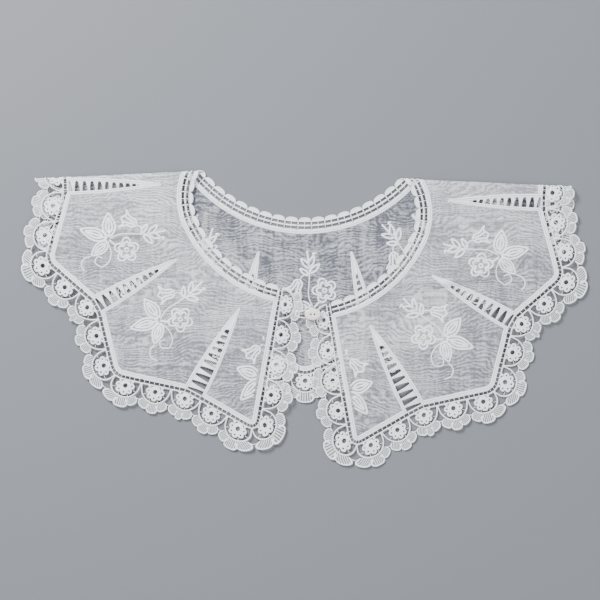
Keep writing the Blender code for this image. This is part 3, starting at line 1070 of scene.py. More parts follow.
@dataclass(frozen=True)
class PearlFinish:
    """Polished shell: ivory with faint wavy growth bands under a clear gloss."""

    light: tuple[float, ...] = rgba(0.80, 0.78, 0.71)
    deep: tuple[float, ...] = rgba(0.60, 0.56, 0.46)

    def make(self) -> bpy.types.Material:
        """Return the material: growth bands in colour, and painted shade in the sewing holes.

        Returns:
            The new material.
        """
        bench = Bench("shell_pearl")
        place = bench.place()
        bands = {"Vector": place, "Scale": 160.0, "Distortion": 3.0, "Detail": 2.0}
        growth = bench.add("ShaderNodeTexWave", {}, bands, "Fac")
        cloud = bench.noise(place, 420.0, 2.0)
        hole_shade = bench.add("ShaderNodeAttribute", {"attribute_name": "well"}, {}, "Fac")
        shell = (growth * 0.35 + cloud * 0.5 - 0.15).clamped().blend(self.light, self.deep)
        # Painted shade: the sewing holes are painted dark amber.
        colour = bench.mix(hole_shade, shell, rgba(0.16, 0.09, 0.035))
        return bench.finish(
            Base_Color=colour,
            Roughness=(cloud * 0.12 + 0.10).clamped(),
            Coat_Weight=0.6,
            Coat_Roughness=0.08,
            Normal=bench.bump(growth, 0.00004, 0.4),
        )


@dataclass(frozen=True)
class TableFinish:
    """A plain pale matt table top."""

    colour: tuple[float, ...] = rgba(0.145, 0.152, 0.166)

    def make(self) -> bpy.types.Material:
        """Return the material: an even pale grey with the faintest grain.

        Returns:
            The new material.
        """
        bench = Bench("pale_table")
        grain = bench.noise(bench.place(), 300.0, 3.0)
        darker = rgba(*(0.97 * part for part in self.colour[:3]))
        colour = grain.blend(self.colour, darker)
        normal = bench.bump(grain, 0.00003, 0.3)
        return bench.finish(Base_Color=colour, Roughness=0.9, Normal=normal)


# ---------------------------------------------------------------------------------------------
# Making pieces
# ---------------------------------------------------------------------------------------------


def add_piece(
    name: str, points: Array, faces: Array, stitch: Array | None = None
) -> bpy.types.Object:
    """Make an object from places in metres.

    Args:
        name: The object's name.
        points: Its corners in the frame.
        faces: Rows of corners.
        stitch: Millimetres along and across the stitches at each corner, if it has any.

    Returns:
        The new object, shaded smooth.
    """
    mesh = bpy.data.meshes.new(name)
    width = faces.shape[1]
    mesh.vertices.add(len(points))
    mesh.vertices.foreach_set("co", points.astype(np.float32).ravel())
    mesh.loops.add(faces.size)
    mesh.loops.foreach_set("vertex_index", faces.astype(np.int32).ravel())
    mesh.polygons.add(len(faces))
    mesh.polygons.foreach_set("loop_start", np.arange(0, faces.size, width, dtype=np.int32))
    mesh.update(calc_edges=True)
    if stitch is not None:
        layer = mesh.uv_layers.new(name="stitch")
        layer.data.foreach_set("uv", stitch[faces.ravel()].astype(np.float32).ravel())
    mesh.validate()
    mesh.shade_smooth()
    piece = bpy.data.objects.new(name, mesh)
    bpy.context.scene.collection.objects.link(piece)
    return piece


def mark(piece: bpy.types.Object, name: str, values: Array) -> None:
    """Store a number at each corner of a piece."""
    layer = piece.data.attributes.new(name, "FLOAT", "POINT")
    layer.data.foreach_set("value", values.astype(np.float32))


def dress(piece: bpy.types.Object, material: bpy.types.Material, slot: str, *nodes: str) -> None:
    """Give a piece its material and say which solids it stands for.

    Args:
        piece: The piece.
        material: Its material.
        slot: The name of a material slot; not used.
        nodes: The solids that it stands for, if any.
    """
    piece.data.materials.append(material)
    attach(piece, "root")
    if nodes:
        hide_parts(*nodes)
    LOG.info("%s: %d faces", piece.name, len(piece.data.polygons))


def lay_down(lay: Lay, name: str, surface: Surface) -> bpy.types.Object:
    """Make an object from a surface drawn on the draft.

    Args:
        lay: How the draft lies.
        name: The object's name.
        surface: The surface; the faces of its reliefs are turned over on the fronts, where the
            fold mirrors them.

    Returns:
        The new object.
    """
    first = surface.faces[:, 0]
    mirrored = (lay.ahead(surface.points)[0][first] > 0.0) & (surface.relief[first] > 0.5)
    faces = np.where(mirrored[:, None], surface.faces[:, ::-1], surface.faces)
    piece = add_piece(name, lay.place(surface.points, surface.relief), faces, surface.stitch)
    mark(piece, "openness", surface.openness)
    return piece


@dataclass
class SheerCloth:
    """The open ring of sheer cloth, cut with slits for the ladders."""

    lay: Lay
    step: float = 3.0
    edge_step: float = 2.0
    roll_step: float = 0.75
    edge_clear: float = 1.3
    soft_edge: float = 26.0
    # Painted light: how much lighter a front is painted, more over the back, with a painted
    # highlight near the roll.
    front_painted_light: float = 0.40
    over_back_painted_light: float = 0.28
    roll_painted_highlight: float = 0.36
    roll_highlight_reach: float = 45.0

    def inner_points(self, outline: Array) -> Array:
        """Return points inside the outline: a staggered grid, and close rows along the rolls.

        Args:
            outline: The cut edge of the cloth.

        Returns:
            Points on the draft, clear of the outline.
        """
        x = np.arange(-216.0, 216.0, self.step)
        y = np.arange(-168.0, 216.0, self.step * 0.866)
        grid = np.stack(np.meshgrid(x, y), axis=-1)
        grid[1::2, :, 0] += self.step / 2.0
        flat = grid.reshape(-1, 2)
        reach = self.lay.half_roll() + 1.0
        flat = flat[np.abs(self.lay.ahead(flat)[0]) > reach + self.step * 0.4]
        rows = [flat]
        for layer in (Layer.LEFT_FRONT, Layer.RIGHT_FRONT):
            anchor, way = self.lay.fold(layer)
            sideways = turned(way) * float(layer.value)
            out = np.arange(-30.0, 140.0, self.step)
            up = np.linspace(-reach, reach, 2 * int(reach / self.roll_step) + 1)
            strip = anchor + out[:, None, None] * sideways + up[None, :, None] * way
            rows.append(strip.reshape(-1, 2))
        points = np.vstack(rows)
        points = points[inside(outline, points)]
        return points[away_from(points, outline) > self.edge_clear * 0.55]

    def build(self) -> bpy.types.Object:
        """Return the cloth: its outline filled with triangles and laid down.

        Returns:
            The new piece.
        """
        outline = self.lay.draft.outline(self.edge_step)
        points = np.vstack([outline, self.inner_points(outline)])
        ring = list(range(len(outline)))
        result = delaunay_2d_cdt([Vector(p) for p in points], [], [ring], 0, 1e-4, True)
        flat = np.array([tuple(p) for p in result[0]])
        faces = np.array([tri for tri, source in zip(result[2], result[5]) if source])
        used = np.unique(faces)
        flat, faces = flat[used], np.searchsorted(used, faces)
        drawn = np.column_stack([flat, np.zeros(len(flat))])
        placed = self.lay.place(drawn)
        piece = add_piece("sheer_cloth", placed, faces[:, ::-1])
        # Painted light and a painted highlight, stored at each point for the cloth's finish.
        mark(piece, "painted_light", self.painted_light(flat, placed[:, :2] / MM - self.lay.shift[:2]))
        return piece

    def painted_light(self, flat: Array, plan: Array) -> Array:
        """Return how white the cloth is painted: painted light for what lies under it and near the
        roll.

        Formula: the back counts 0 and a front its own painted light, with more where it lies over
        the back, by a soft step at the back's edges, and a painted highlight near the roll; at most
        1.

        Args:
            flat: Points on the draft.
            plan: The same points seen from above.

        Returns:
            The share of the painted light at each point.
        """
        back = self.lay.draft.outline(2.0, notched=False)
        depth = away_from(plan, back) * np.where(inside(back, plan), 1.0, -1.0)
        ahead = self.lay.ahead(flat)[0]
        front = smoothstep((ahead + 3.0) / 6.0)
        over = smoothstep(depth / self.soft_edge + 0.5) * front
        # Painted highlight near the roll, fading over a given reach.
        roll_highlight_share = smoothstep((self.roll_highlight_reach - np.abs(ahead)) / self.roll_highlight_reach) * front
        # The painted light of the fronts, summed.
        tone = self.front_painted_light * front + self.over_back_painted_light * over + self.roll_painted_highlight * roll_highlight_share
        return np.clip(tone, 0.0, 1.0)

    def flat_area(self) -> float:
        """Return the area of the cut cloth in square metres.

        Returns:
            The area within the cut edge, without the ladders' slits.
        """
        line = self.lay.draft.outline(self.edge_step)
        after = np.roll(line, -1, axis=0)
        return float(np.sum(line[:, 0] * after[:, 1] - after[:, 0] * line[:, 1])) / 2.0 * MM * MM


@dataclass
class SatinBorder:
    """The band of satin stitch along every cut edge, two corded ridges with a groove between."""

    lay: Lay
    step: float = 1.0
    ease: int = 3
    tip_share: float = 0.42
    tip_run: float = 13.0
    groove: int = 4
    profile: tuple[tuple[float, float], ...] = (
        (-0.20, -0.05),
        (0.0, 0.26),
        (0.40, 0.46),
        (0.80, 0.34),
        (1.12, 0.04),
        (1.45, 0.30),
        (1.85, 0.44),
        (2.25, 0.30),
        (2.60, -0.08),
    )

    def width_share(self, line: Array) -> Array:
        """Return the border's width at each point as a share: narrower towards a ladder's tip.

        Args:
            line: Points along the border.

        Returns:
            The share at each point.
        """
        tips = np.array([ladder.tip for ladder in LADDERS])
        tips = np.vstack([tips, tips * (-1.0, 1.0)])
        nearest = np.linalg.norm(line[:, None] - tips[None], axis=2).min(axis=1)
        return self.tip_share + (1.0 - self.tip_share) * smoothstep(nearest / self.tip_run)

    def build(self) -> bpy.types.Object:
        """Return the border, carried round the whole cut edge.

        Returns:
            The new piece.
        """
        line = self.lay.draft.outline(self.step)
        forward = unit(np.roll(line, -1, axis=0) - np.roll(line, 1, axis=0))
        inward = unit(eased(-turned(forward), self.ease, True)) * self.width_share(line)[:, None]
        band = ribbon(line, inward, self.profile, True)
        # The groove is marked open: it shows through, and the thread finish paints it darker as
        # shade.
        band.openness[self.groove :: len(self.profile)] = 0.8
        return lay_down(self.lay, "satin_border", band)


@dataclass
class LadderThreads:
    """The drawn threads of every ladder: bunches tied on one side and fanned on the other."""

    lay: Lay
    pitch: float = 7.0
    fan: float = 5.4
    threads: int = 6
    half_thread: float = 0.37
    tie: float = 0.7
    overlap: float = 0.9
    last_share: float = 0.22
    pad_share: float = 0.23

    def bunches(self, ladder: Ladder) -> list[Surface]:
        """Return one ladder's threads, from its hem end towards its tip.

        Args:
            ladder: The ladder.

        Returns:
            One surface for each thread.
        """
        length = ladder.length()
        surfaces = []
        at = length - 4.2
        while at / length > self.last_share:
            size = float(ladder.half_width(np.array([at / length]))[0]) * 2.0 / ladder.end_width
            for spread in np.linspace(-0.5, 0.5, self.threads):
                near = np.array([(at + spread * self.tie) / length])
                far = np.array([(at + spread * self.fan * (0.35 + 0.65 * size) + 0.6) / length])
                start = ladder.side(1.0, near, -self.overlap)[0]
                end = ladder.side(-1.0, far, -self.overlap)[0]
                middle = (start + end) / 2.0 - ladder.along() * spread * self.fan * 0.12
                thread = curve_through((start, middle, end), 3)
                surfaces.append(cord(thread, self.half_thread, 0.34))
            at -= self.pitch * (0.62 + 0.38 * size)
        return surfaces

    def pad(self, ladder: Ladder) -> Surface:
        """Return the satin pad that closes a ladder's narrow tip.

        Formula: at a share of the length it is as wide as the slit and 0.8 mm more, and across
        it swells to a low dome.

        Args:
            ladder: The ladder.

        Returns:
            The pad's surface.
        """
        shares = np.linspace(-0.012, self.pad_share, 22)
        across = np.linspace(-1.0, 1.0, 7)
        left, right = ladder.side(1.0, shares, -0.4), ladder.side(-1.0, shares, -0.4)
        blend = (across[None, :, None] + 1.0) / 2.0
        flat = left[:, None] * (1.0 - blend) + right[:, None] * blend
        height = np.broadcast_to((0.1 + 0.3 * np.abs(across))[None, :, None], flat.shape[:2] + (1,))
        points = np.concatenate([flat, height], axis=2).reshape(-1, 3)
        run = np.broadcast_to((shares * ladder.length())[:, None], flat.shape[:2])
        share = np.broadcast_to(across[None, :], run.shape)
        stitch = np.stack([run, share], axis=-1).reshape(-1, 2)
        return Surface(points, net(len(shares), len(across)), stitch)

    def build(self) -> bpy.types.Object:
        """Return the threads of all ten ladders.

        Returns:
            The new piece.
        """
        surfaces = []
        for ladder in LADDERS:
            surfaces += [*self.bunches(ladder), self.pad(ladder)]
        right = joined(surfaces)
        return lay_down(self.lay, "ladder_threads", joined([right, right.mirrored()]))


@dataclass
class LaceCourse:
    """A line that a lace repeat follows, with the direction in which the lace reaches out.

    Attributes:
        line: Finely stepped points of the line.
        out: The lace's direction at each.
        middle: Distance from the line at which the repeats are spaced evenly.
        pitch: The width of one repeat there.
        count: How many repeats there are.
        narrowing: The share of its reach that the lace loses at the line's ends.
        narrow_run: The length over which it does so.
    """

    line: Array
    out: Array
    middle: float
    pitch: float
    count: int
    narrowing: float = 0.0
    narrow_run: float = 60.0

    def drawn(self, motif: Surface, repeats: Array) -> Surface:
        """Repeat a motif along the line.

        Formula: a motif's point at u sideways and v outwards goes to the line's point at the
        repeat's middle plus u, and from there v in the lace's direction. Its faces are turned
        over where the line runs the other way round its lace.

        Args:
            motif: u, v and height of the motif's points.
            repeats: The numbers of the repeats to draw.

        Returns:
            All those repeats as one surface on the draft.
        """
        if self.turn() < 0.0:
            motif = motif.turned_over()
        along = lengths_along(self.line)
        middles = lengths_along(self.line + self.out * self.middle)
        sideways = repeats[:, None] + 0.5 + motif.points[None, :, 0] / self.pitch
        at = np.interp((sideways / self.count * middles[-1]).ravel(), middles, along)
        spill = (sideways / self.count * middles[-1]).ravel()
        spill = np.where(spill < 0.0, spill, np.maximum(spill - middles[-1], 0.0))
        base = np.stack([np.interp(at, along, self.line[:, k]) for k in range(2)], axis=1)
        way = unit(np.stack([np.interp(at, along, self.out[:, k]) for k in range(2)], axis=1))
        base = base + turned(way) * spill[:, None] * self.turn()
        reach = np.tile(motif.points[:, 1], len(repeats))
        from_end = np.minimum(at, along[-1] - at)
        reach = reach * (1.0 - self.narrowing * (1.0 - smoothstep(from_end / self.narrow_run)))
        flat = base + way * reach[:, None]
        height = np.tile(motif.points[:, 2], len(repeats))
        starts = np.arange(len(repeats)) * len(motif.points)
        faces = (motif.faces[None] + starts[:, None, None]).reshape(-1, 4)
        stitch = np.tile(motif.stitch, (len(repeats), 1))
        openness = np.tile(motif.openness, len(repeats))
        relief = np.tile(motif.relief, len(repeats))
        return Surface(np.column_stack([flat, height]), faces, stitch, openness, relief)

    def turn(self) -> float:
        """Return whether the line runs clockwise or counterclockwise of its lace, as a sign."""
        forward = unit(self.line[1] - self.line[0])
        return 1.0 if float(np.dot(turned(self.out[0]), forward)) > 0.0 else -1.0


@dataclass
class EdgingLace:
    """The deep edging: a ladder footing, ringed flowers and three ribbed fans to each scallop."""

    lay: Lay
    pitch: float = 24.0
    start: float = 9.0
    ease: float = 11.0
    middle: float = 7.8
    fine_step: float = 0.5
    flower_out: float = 8.6
    petals: tuple[float, ...] = (-92.0, -46.0, 0.0, 46.0, 92.0)
    petal_out: float = 5.15
    fans: tuple[float, ...] = (-34.0, 0.0, 34.0)
    fan_start: float = 9.2
    fan_half: tuple[float, float] = (3.1, 1.0)

    def course(self) -> LaceCourse:
        """Return the line that the edging is sewn to, with eased outward directions.

        Returns:
            The course, with an odd number of repeats.
        """
        hem = self.lay.draft.hem(False)
        first = hem[0] + unit(hem[0] - hem[1]) * self.start
        line = np.vstack([[first], hem, [first * (-1.0, 1.0)]])
        fine = at_lengths(line, np.arange(0.0, lengths_along(line)[-1], self.fine_step))
        out = -turned(unit(np.gradient(fine, axis=0)))
        out = unit(eased(out, int(round(self.ease / self.fine_step)), False))
        run = lengths_along(fine + out * self.middle)[-1]
        count = 2 * int(round((run / self.pitch - 1.0) / 2.0)) + 1
        return LaceCourse(fine, out, self.middle, self.pitch, count, 0.2)

    def footing(self) -> list[Surface]:
        """Return the two rails along the cloth and the six bars between them.

        Returns:
            One surface for each thread.
        """
        half = self.pitch / 2.0
        across = np.linspace(-half, half, 13)
        rails = [
            cord(np.column_stack([across, np.full(13, 0.55)]), 0.55, 0.40),
            cord(np.column_stack([across, np.full(13, 3.85)]), 0.55, 0.42),
        ]
        bars = [
            cord(np.array([[u, 0.4], [u, 3.9]]), 0.42, 0.34)
            for u in np.linspace(-half, half, 7)[:-1] + self.pitch / 12.0
        ]
        return rails + bars

    def flower(self) -> list[Surface]:
        """Return the flower: a corded ring, a ground round it and five petals with eyelets.

        Returns:
            The surfaces that make it up.
        """
        middle = self.flower_out
        heart = ((1.75, -0.05), (1.95, 0.42), (2.45, 0.50), (2.9, 0.2), (3.7, 0.26), (4.6, 0.05))
        petal = ((0.62, -0.05), (0.8, 0.30), (1.25, 0.22), (1.75, 0.46), (2.1, 0.40), (2.3, -0.05))
        surfaces = [collar_ring(0.0, middle, heart, 28)]
        for angle in self.petals:
            turn = math.radians(angle)
            x = self.petal_out * math.sin(turn)
            y = middle + self.petal_out * math.cos(turn)
            surfaces.append(collar_ring(x, y, petal, 14))
        for side in (-1.0, 1.0):
            shoulder = curve_through(((side * 5.6, 3.7), (side * 5.2, 4.9), (side * 3.9, 5.6)), 3)
            surfaces.append(cord(shoulder, 0.9, 0.35))
        return surfaces

    def ring(self) -> list[Surface]:
        """Return the corded ring round the flower and the small bars that hold it.

        Returns:
            The surfaces that make them up.
        """
        right = ((0.0, 17.6), (3.9, 16.9), (7.5, 14.5), (10.1, 10.9), (11.2, 7.2), (11.9, 3.9))
        left = tuple((-u, v) for u, v in right[:0:-1])
        arc = curve_through(left + right, 5)
        surfaces = [cord(arc, 0.55, 0.48)]
        for angle in (-70.0, -24.0, 24.0, 70.0):
            turn = math.radians(angle)
            way = np.array([math.sin(turn), math.cos(turn)])
            ends = [np.array([0.0, self.flower_out]) + way * reach for reach in (7.0, 9.5)]
            surfaces.append(cord(np.array(ends), 0.34, 0.3))
        knot = ((0.0, 0.5), (0.7, 0.46), (1.2, 0.05))
        surfaces.append(collar_ring(self.pitch / 2.0, 4.6, knot, 8))
        return surfaces

    def fan(self, angle: float, proud: float) -> list[Surface]:
        """Return one ribbed fan on the ring.

        Formula: across the fan runs a share from -1 to 1 and outwards a share from 0 to 1. The
        half-width grows by a quarter turn's sine, and the rim is a dome.

        Args:
            angle: Where it stands on the ring, in degrees from straight out.
            proud: How much further out it reaches than the others.

        Returns:
            Its ribbed ground and its corded rim.
        """
        turn = math.radians(angle)
        way = np.array([math.sin(turn), math.cos(turn)])
        side = turned(way)
        across = np.linspace(-1.0, 1.0, 9)
        outward = np.linspace(0.0, 1.0, 5)
        dome = 4.5 + proud + 2.4 * np.sqrt(1.0 - (0.92 * across) ** 2)
        low, growth = self.fan_half
        wide = (low + growth * np.sin(outward * 0.62 * math.pi))[:, None] * across[None, :]
        out = self.fan_start - 0.3 + outward[:, None] * dome[None, :]
        flat = np.array([0.0, self.flower_out]) + wide[..., None] * side + out[..., None] * way
        swell = np.sin(outward * math.pi)[:, None] * (1.0 - across[None, :] ** 4) * 0.28 + 0.02
        points = np.concatenate([flat, swell[..., None]], axis=2).reshape(-1, 3)
        stitch = np.stack([wide * 0.66, out], axis=-1).reshape(-1, 2)
        faces = net(len(outward), len(across))
        # The ground is marked open: it shows through, and the thread finish paints it darker as
        # shade.
        ground = Surface(points, faces, stitch, np.full(len(points), 0.8))
        rim = np.vstack([flat[1:-1, 0], flat[-1], flat[1:-1, -1][::-1]])
        rim = curve_through(rim[::2], 2)
        return [ground, cord(rim, 0.56, 0.47)]

    def motif(self) -> Surface:
        """Return one whole scallop, with the short link to its neighbour.

        Returns:
            The scallop as one surface.
        """
        surfaces = [*self.footing(), *self.flower(), *self.ring()]
        for angle in self.fans:
            surfaces += self.fan(angle, 0.9 if angle == 0.0 else 0.0)
        half = self.pitch / 2.0
        link = cord(np.array([[half - 1.9, 16.2], [half, 16.6], [half + 1.9, 16.2]]), 0.34, 0.3)
        return joined([*surfaces, link])

    def build(self) -> list[bpy.types.Object]:
        """Return the edging in three lengths: the right front, the back and the left front.

        Returns:
            The three new pieces.
        """
        course = self.course()
        motif = self.motif()
        third = course.count / 3.0
        stops = (0, int(round(third)), int(round(2.0 * third)), course.count)
        pieces = []
        for name, low, high in zip(("right", "back", "left"), stops[:-1], stops[1:]):
            surface = course.drawn(motif, np.arange(low, high))
            pieces.append(lay_down(self.lay, f"edging_lace_{name}", surface))
        return pieces


@dataclass
class NeckTrim:
    """The narrow beading round the neck: two rows of slots under a row of half-moons."""

    lay: Lay
    pitch: float = 11.1
    inset: float = 0.6
    fine_step: float = 0.5
    dome_low: float = 7.6
    dome_high: float = 10.1

    def course(self) -> LaceCourse:
        """Return the neck edge with its inward directions.

        Returns:
            The course, with an odd number of repeats.
        """
        edge = self.lay.draft.neck_line()
        run = lengths_along(edge)[-1]
        line = at_lengths(edge, np.arange(self.inset, run - self.inset, self.fine_step))
        out = -turned(unit(np.gradient(line, axis=0)))
        count = 2 * int(round((run / self.pitch - 1.0) / 2.0)) + 1
        return LaceCourse(line, unit(eased(out, 4, False)), 0.0, run / count, count)

    def motif(self) -> Surface:
        """Return one half-moon with the slots under it.

        Returns:
            The half-moon and its slots as one surface.
        """
        half = self.pitch / 2.0
        across = np.linspace(-half, half, 7)
        surfaces = [
            cord(np.column_stack([across, np.full(7, reach)]), width, 0.40)
            for reach, width in ((0.55, 0.75), (4.0, 0.72), (7.2, 0.5))
        ]
        for u, width in ((-half, 0.75), (-half * 0.04, 0.5)):
            surfaces.append(cord(np.array([[u, 0.5], [u, 7.3]]), width, 0.36))
        share = np.linspace(-1.0, 1.0, 11)
        dome = self.dome_low + (self.dome_high - self.dome_low) * np.sqrt(1.0 - 0.97 * share**2)
        base = 7.0
        rows = np.linspace(0.0, 1.0, 4)
        wide = np.broadcast_to(share * half * 0.97, (len(rows), len(share)))
        out = base + rows[:, None] * (dome - base)[None, :]
        high = np.sin(rows * math.pi)[:, None] * np.full((1, len(share)), 0.22) + 0.05
        points = np.stack([wide, out, high], axis=-1).reshape(-1, 3)
        stitch = np.stack([wide, out], axis=-1).reshape(-1, 2)
        rim = np.column_stack([share * half * 0.93, dome - 0.1])
        ground = Surface(points, net(len(rows), len(share)), stitch)
        return joined([*surfaces, ground, cord(rim, 0.5, 0.45)])

    def build(self) -> bpy.types.Object:
        """Return the whole trim.

        Returns:
            The new piece.
        """
        course = self.course()
        motif = self.motif()
        return lay_down(self.lay, "neck_trim_lace", course.drawn(motif, np.arange(course.count)))


@dataclass(frozen=True)
class SprayPlace:
    """Where a spray of flowers is worked: its layer, fork, turn, hand and number of leaves."""

    layer: Layer
    x: float
    y: float
    turn: float
    mirrored: bool = False
    leaves: int = 3


@dataclass
class Embroidery:
    """Sprays of outlined leaves, a bell flower, a star flower and a sprig, in raised cord."""

    lay: Lay
    half_width: float = 0.82
    half_height: float = 0.46
    step: float = 0.9
    edge_clear: float = 4.2
    fine_share: float = 0.62
    places: tuple[SprayPlace, ...] = (
        SprayPlace(Layer.LEFT_FRONT, -152.5, -53.0, 0.0),
        SprayPlace(Layer.LEFT_FRONT, -112.7, -116.2, 34.0),
        SprayPlace(Layer.LEFT_FRONT, -33.5, -160.7, 66.0),
        SprayPlace(Layer.RIGHT_FRONT, 151.3, -66.3, -4.0, True),
        SprayPlace(Layer.RIGHT_FRONT, 108.4, -130.3, -36.0, True),
        SprayPlace(Layer.RIGHT_FRONT, 33.0, -171.0, -68.0, True),
        SprayPlace(Layer.BACK, 7.0, -106.0, 88.0, leaves=1),
        SprayPlace(Layer.BACK, -88.0, -86.0, 60.0),
        SprayPlace(Layer.BACK, 90.5, -74.0, 124.0),
        SprayPlace(Layer.BACK, -158.0, -36.0, 20.0),
        SprayPlace(Layer.BACK, 158.0, -38.0, 160.0),
    )

    def leaf(
        self, base: tuple[float, float], tip: tuple[float, float], width: float
    ) -> list[Array]:
        """Return a leaf's outline, the line within it and its vein.

        Formula: the half-width is half the width times the sine of half a turn along the leaf,
        with the widest place a little nearer the base.

        Args:
            base: Where the leaf starts.
            tip: Where it ends.
            width: Its greatest width.

        Returns:
            Its lines.
        """
        start, end = np.array(base), np.array(tip)
        way = unit(end - start)
        side = turned(way)
        t = np.linspace(0.0, 1.0, 17)
        half = 0.5 * width * np.sin(math.pi * t**0.82) ** 0.9
        spine = start + t[:, None] * (end - start)
        edge = np.vstack([spine + half[:, None] * side, (spine - half[:, None] * side)[::-1][1:]])
        inner = start + (0.16 + 0.66 * t)[:, None] * (end - start)
        left = inner + 0.52 * half[:, None] * side
        right = inner - 0.52 * half[:, None] * side
        vein = start + np.linspace(0.0, 0.72, 9)[:, None] * (end - start)
        return [edge, np.vstack([left, right[::-1][1:]]), vein]

    def bell(
        self, base: tuple[float, float], tip: tuple[float, float], width: float
    ) -> list[Array]:
        """Return a bell flower: a cup that opens into three points, with two inner lines.

        Args:
            base: Where the cup starts.
            tip: The middle of its mouth.
            width: Its greatest width.

        Returns:
            Its lines.
        """
        start, end = np.array(base), np.array(tip)
        way, length = unit(end - start), float(np.linalg.norm(end - start))
        side = turned(way)

        def at(out: float, across: float) -> tuple[float, float]:
            """Return the place at a share of the length and a share of the half-width."""
            point = start + way * out * length + side * across * width * 0.5
            return (float(point[0]), float(point[1]))

        left = curve_through((at(0.0, 0.0), at(0.2, 0.42), at(0.6, 0.5), at(1.0, 1.0)), 6)
        points = ((1.0, 1.0), (0.86, 0.5), (1.08, 0.02), (0.84, -0.46), (1.0, -1.0))
        lip = curve_through([at(out, across) for out, across in points], 5)
        right = curve_through((at(1.0, -1.0), at(0.6, -0.5), at(0.2, -0.42), at(0.0, 0.0)), 6)
        folds = [
            curve_through((at(0.12, 0.1), at(0.5, 0.16), at(0.88, 0.3)), 5),
            curve_through((at(0.12, -0.1), at(0.5, -0.16), at(0.88, -0.3)), 5),
        ]
        return [np.vstack([left, lip[1:], right[1:]]), *folds]

    def star(self, middle: tuple[float, float], radius: float, turn: float) -> list[Array]:
        """Return a star flower.

        Formula: its rim's radius swings five times between its lobes and its notches, and an
        inner line follows at three fifths of it, round a small ring.

        Args:
            middle: Its middle.
            radius: The reach of its lobes.
            turn: Its turn in degrees.

        Returns:
            Its lines.
        """
        angle = np.linspace(0.0, 2.0 * math.pi, 81)
        round_it = np.stack([np.cos(angle), np.sin(angle)], axis=1)
        swing = np.abs(np.cos(2.5 * (angle - math.radians(turn)))) ** 0.9
        lines = []
        for share, depth in ((1.0, 0.46), (0.66, 0.5)):
            reach = radius * share * (1.0 - depth * (1.0 - swing))
            lines.append(np.array(middle) + reach[:, None] * round_it)
        lines.append(np.array(middle) + 1.5 * round_it[::5])
        return lines

    def sprig(self, base: tuple[float, float]) -> list[Array]:
        """Return the sprig: slim leaves in pairs, a fine end and a small loop.

        Args:
            base: Where its middle stem starts.

        Returns:
            Its lines.
        """
        x, y = base
        slim = (
            ((x, y), (x + 7.4, y + 7.2), 3.4),
            ((x - 3.4, y - 0.6), (x + 3.6, y - 7.4), 3.6),
            ((x + 1.2, y + 0.2), (x + 10.0, y - 3.0), 3.6),
            ((x - 5.4, y + 0.8), (x - 0.4, y + 7.8), 3.0),
        )
        lines = [line for start, end, width in slim for line in self.leaf(start, end, width)[:1]]
        lines.append(curve_through(((x, y), (x + 7.0, y + 1.4), (x + 14.0, y + 2.6)), 5))
        small_loop = ((x + 9.4, y - 3.2), (x + 12.0, y - 2.0), (x + 11.6, y - 5.0))
        lines.append(curve_through(small_loop, 5))
        return lines

    def thick_lines(self, leaves: int) -> list[Array]:
        """Return the bold lines of one spray, about its fork, with as many leaves as asked.

        Args:
            leaves: How many leaves the spray has.

        Returns:
            The lines, about the fork.
        """
        lines = []
        shapes = (
            ((0.4, 2.2), (-0.8, 20.6), 9.8),
            ((-1.4, 0.9), (-22.4, 8.0), 9.2),
            ((-0.6, -1.7), (-13.6, -12.4), 8.4),
        )
        for base, tip, width in shapes[:leaves]:
            lines += self.leaf(base, tip, width)
        lines += self.bell((21.6, 11.6), (10.4, 16.6), 15.0)
        lines += self.star((13.8, -8.0), 9.6, 20.0)
        lines.append(curve_through(((0.0, 0.0), (3.0, -2.6), (6.0, -5.0)), 5))
        lines += self.sprig((30.6, 4.3))
        return lines

    def fine_lines(self, leaves: int) -> list[Array]:
        """Return the fine lines of one spray: its stems, and tendrils where it has all leaves.

        Args:
            leaves: How many leaves the spray has.

        Returns:
            The lines, about the fork.
        """
        stems = [
            curve_through(((0.6, 1.0), (9.0, 4.4), (20.0, 4.4), (31.0, 4.3)), 6),
            curve_through(((21.6, 11.6), (24.6, 9.6), (26.4, 4.6)), 5),
        ]
        if leaves < 3:
            return stems
        return stems + [
            curve_through(((-1.0, -2.0), (1.6, -9.0), (0.2, -17.0), (-5.6, -21.6)), 6),
            curve_through(((-5.6, -21.6), (-10.8, -18.0), (-9.0, -13.4), (-4.6, -14.6)), 6),
            curve_through(((-14.0, -13.0), (-19.6, -15.0), (-21.6, -20.0), (-19.0, -25.0)), 6),
        ]

    def runs(self, line: Array, place: SprayPlace, outline: Array) -> list[Array]:
        """Return the stretches of one spray's line that lie on the cloth, on the draft.

        Args:
            line: A line about the spray's fork.
            place: Where the spray is worked.
            outline: The cut edge of the cloth, finely stepped.

        Returns:
            The stretches clear of the borders, each set anew in even steps.
        """
        turn = math.radians(place.turn)
        drawn = evenly(line, self.step) * ((-1.0, 1.0) if place.mirrored else (1.0, 1.0))
        spin = np.array([[math.cos(turn), -math.sin(turn)], [math.sin(turn), math.cos(turn)]])
        flat = self.lay.unfolded(drawn @ spin.T + (place.x, place.y), place.layer)
        kept = inside(outline, flat) & (away_from(flat, outline) > self.edge_clear)
        stops = np.flatnonzero(np.diff(np.concatenate([[0], kept.astype(int), [0]])))
        pairs = stops.reshape(-1, 2)
        return [flat[low:high] for low, high in pairs if high - low >= 4]

    def build(self) -> bpy.types.Object:
        """Return the raised cords of all the sprays.

        Returns:
            The new piece.
        """
        outline = self.lay.draft.outline(1.5)
        surfaces = []
        for place in self.places:
            thick, fine = self.thick_lines(place.leaves), self.fine_lines(place.leaves)
            for lines, size in ((thick, 1.0), (fine, self.fine_share)):
                wide, tall = self.half_width * size, self.half_height * size
                for line in lines:
                    surfaces += [cord(run, wide, tall) for run in self.runs(line, place, outline)]
        return lay_down(self.lay, "embroidery", joined(surfaces))


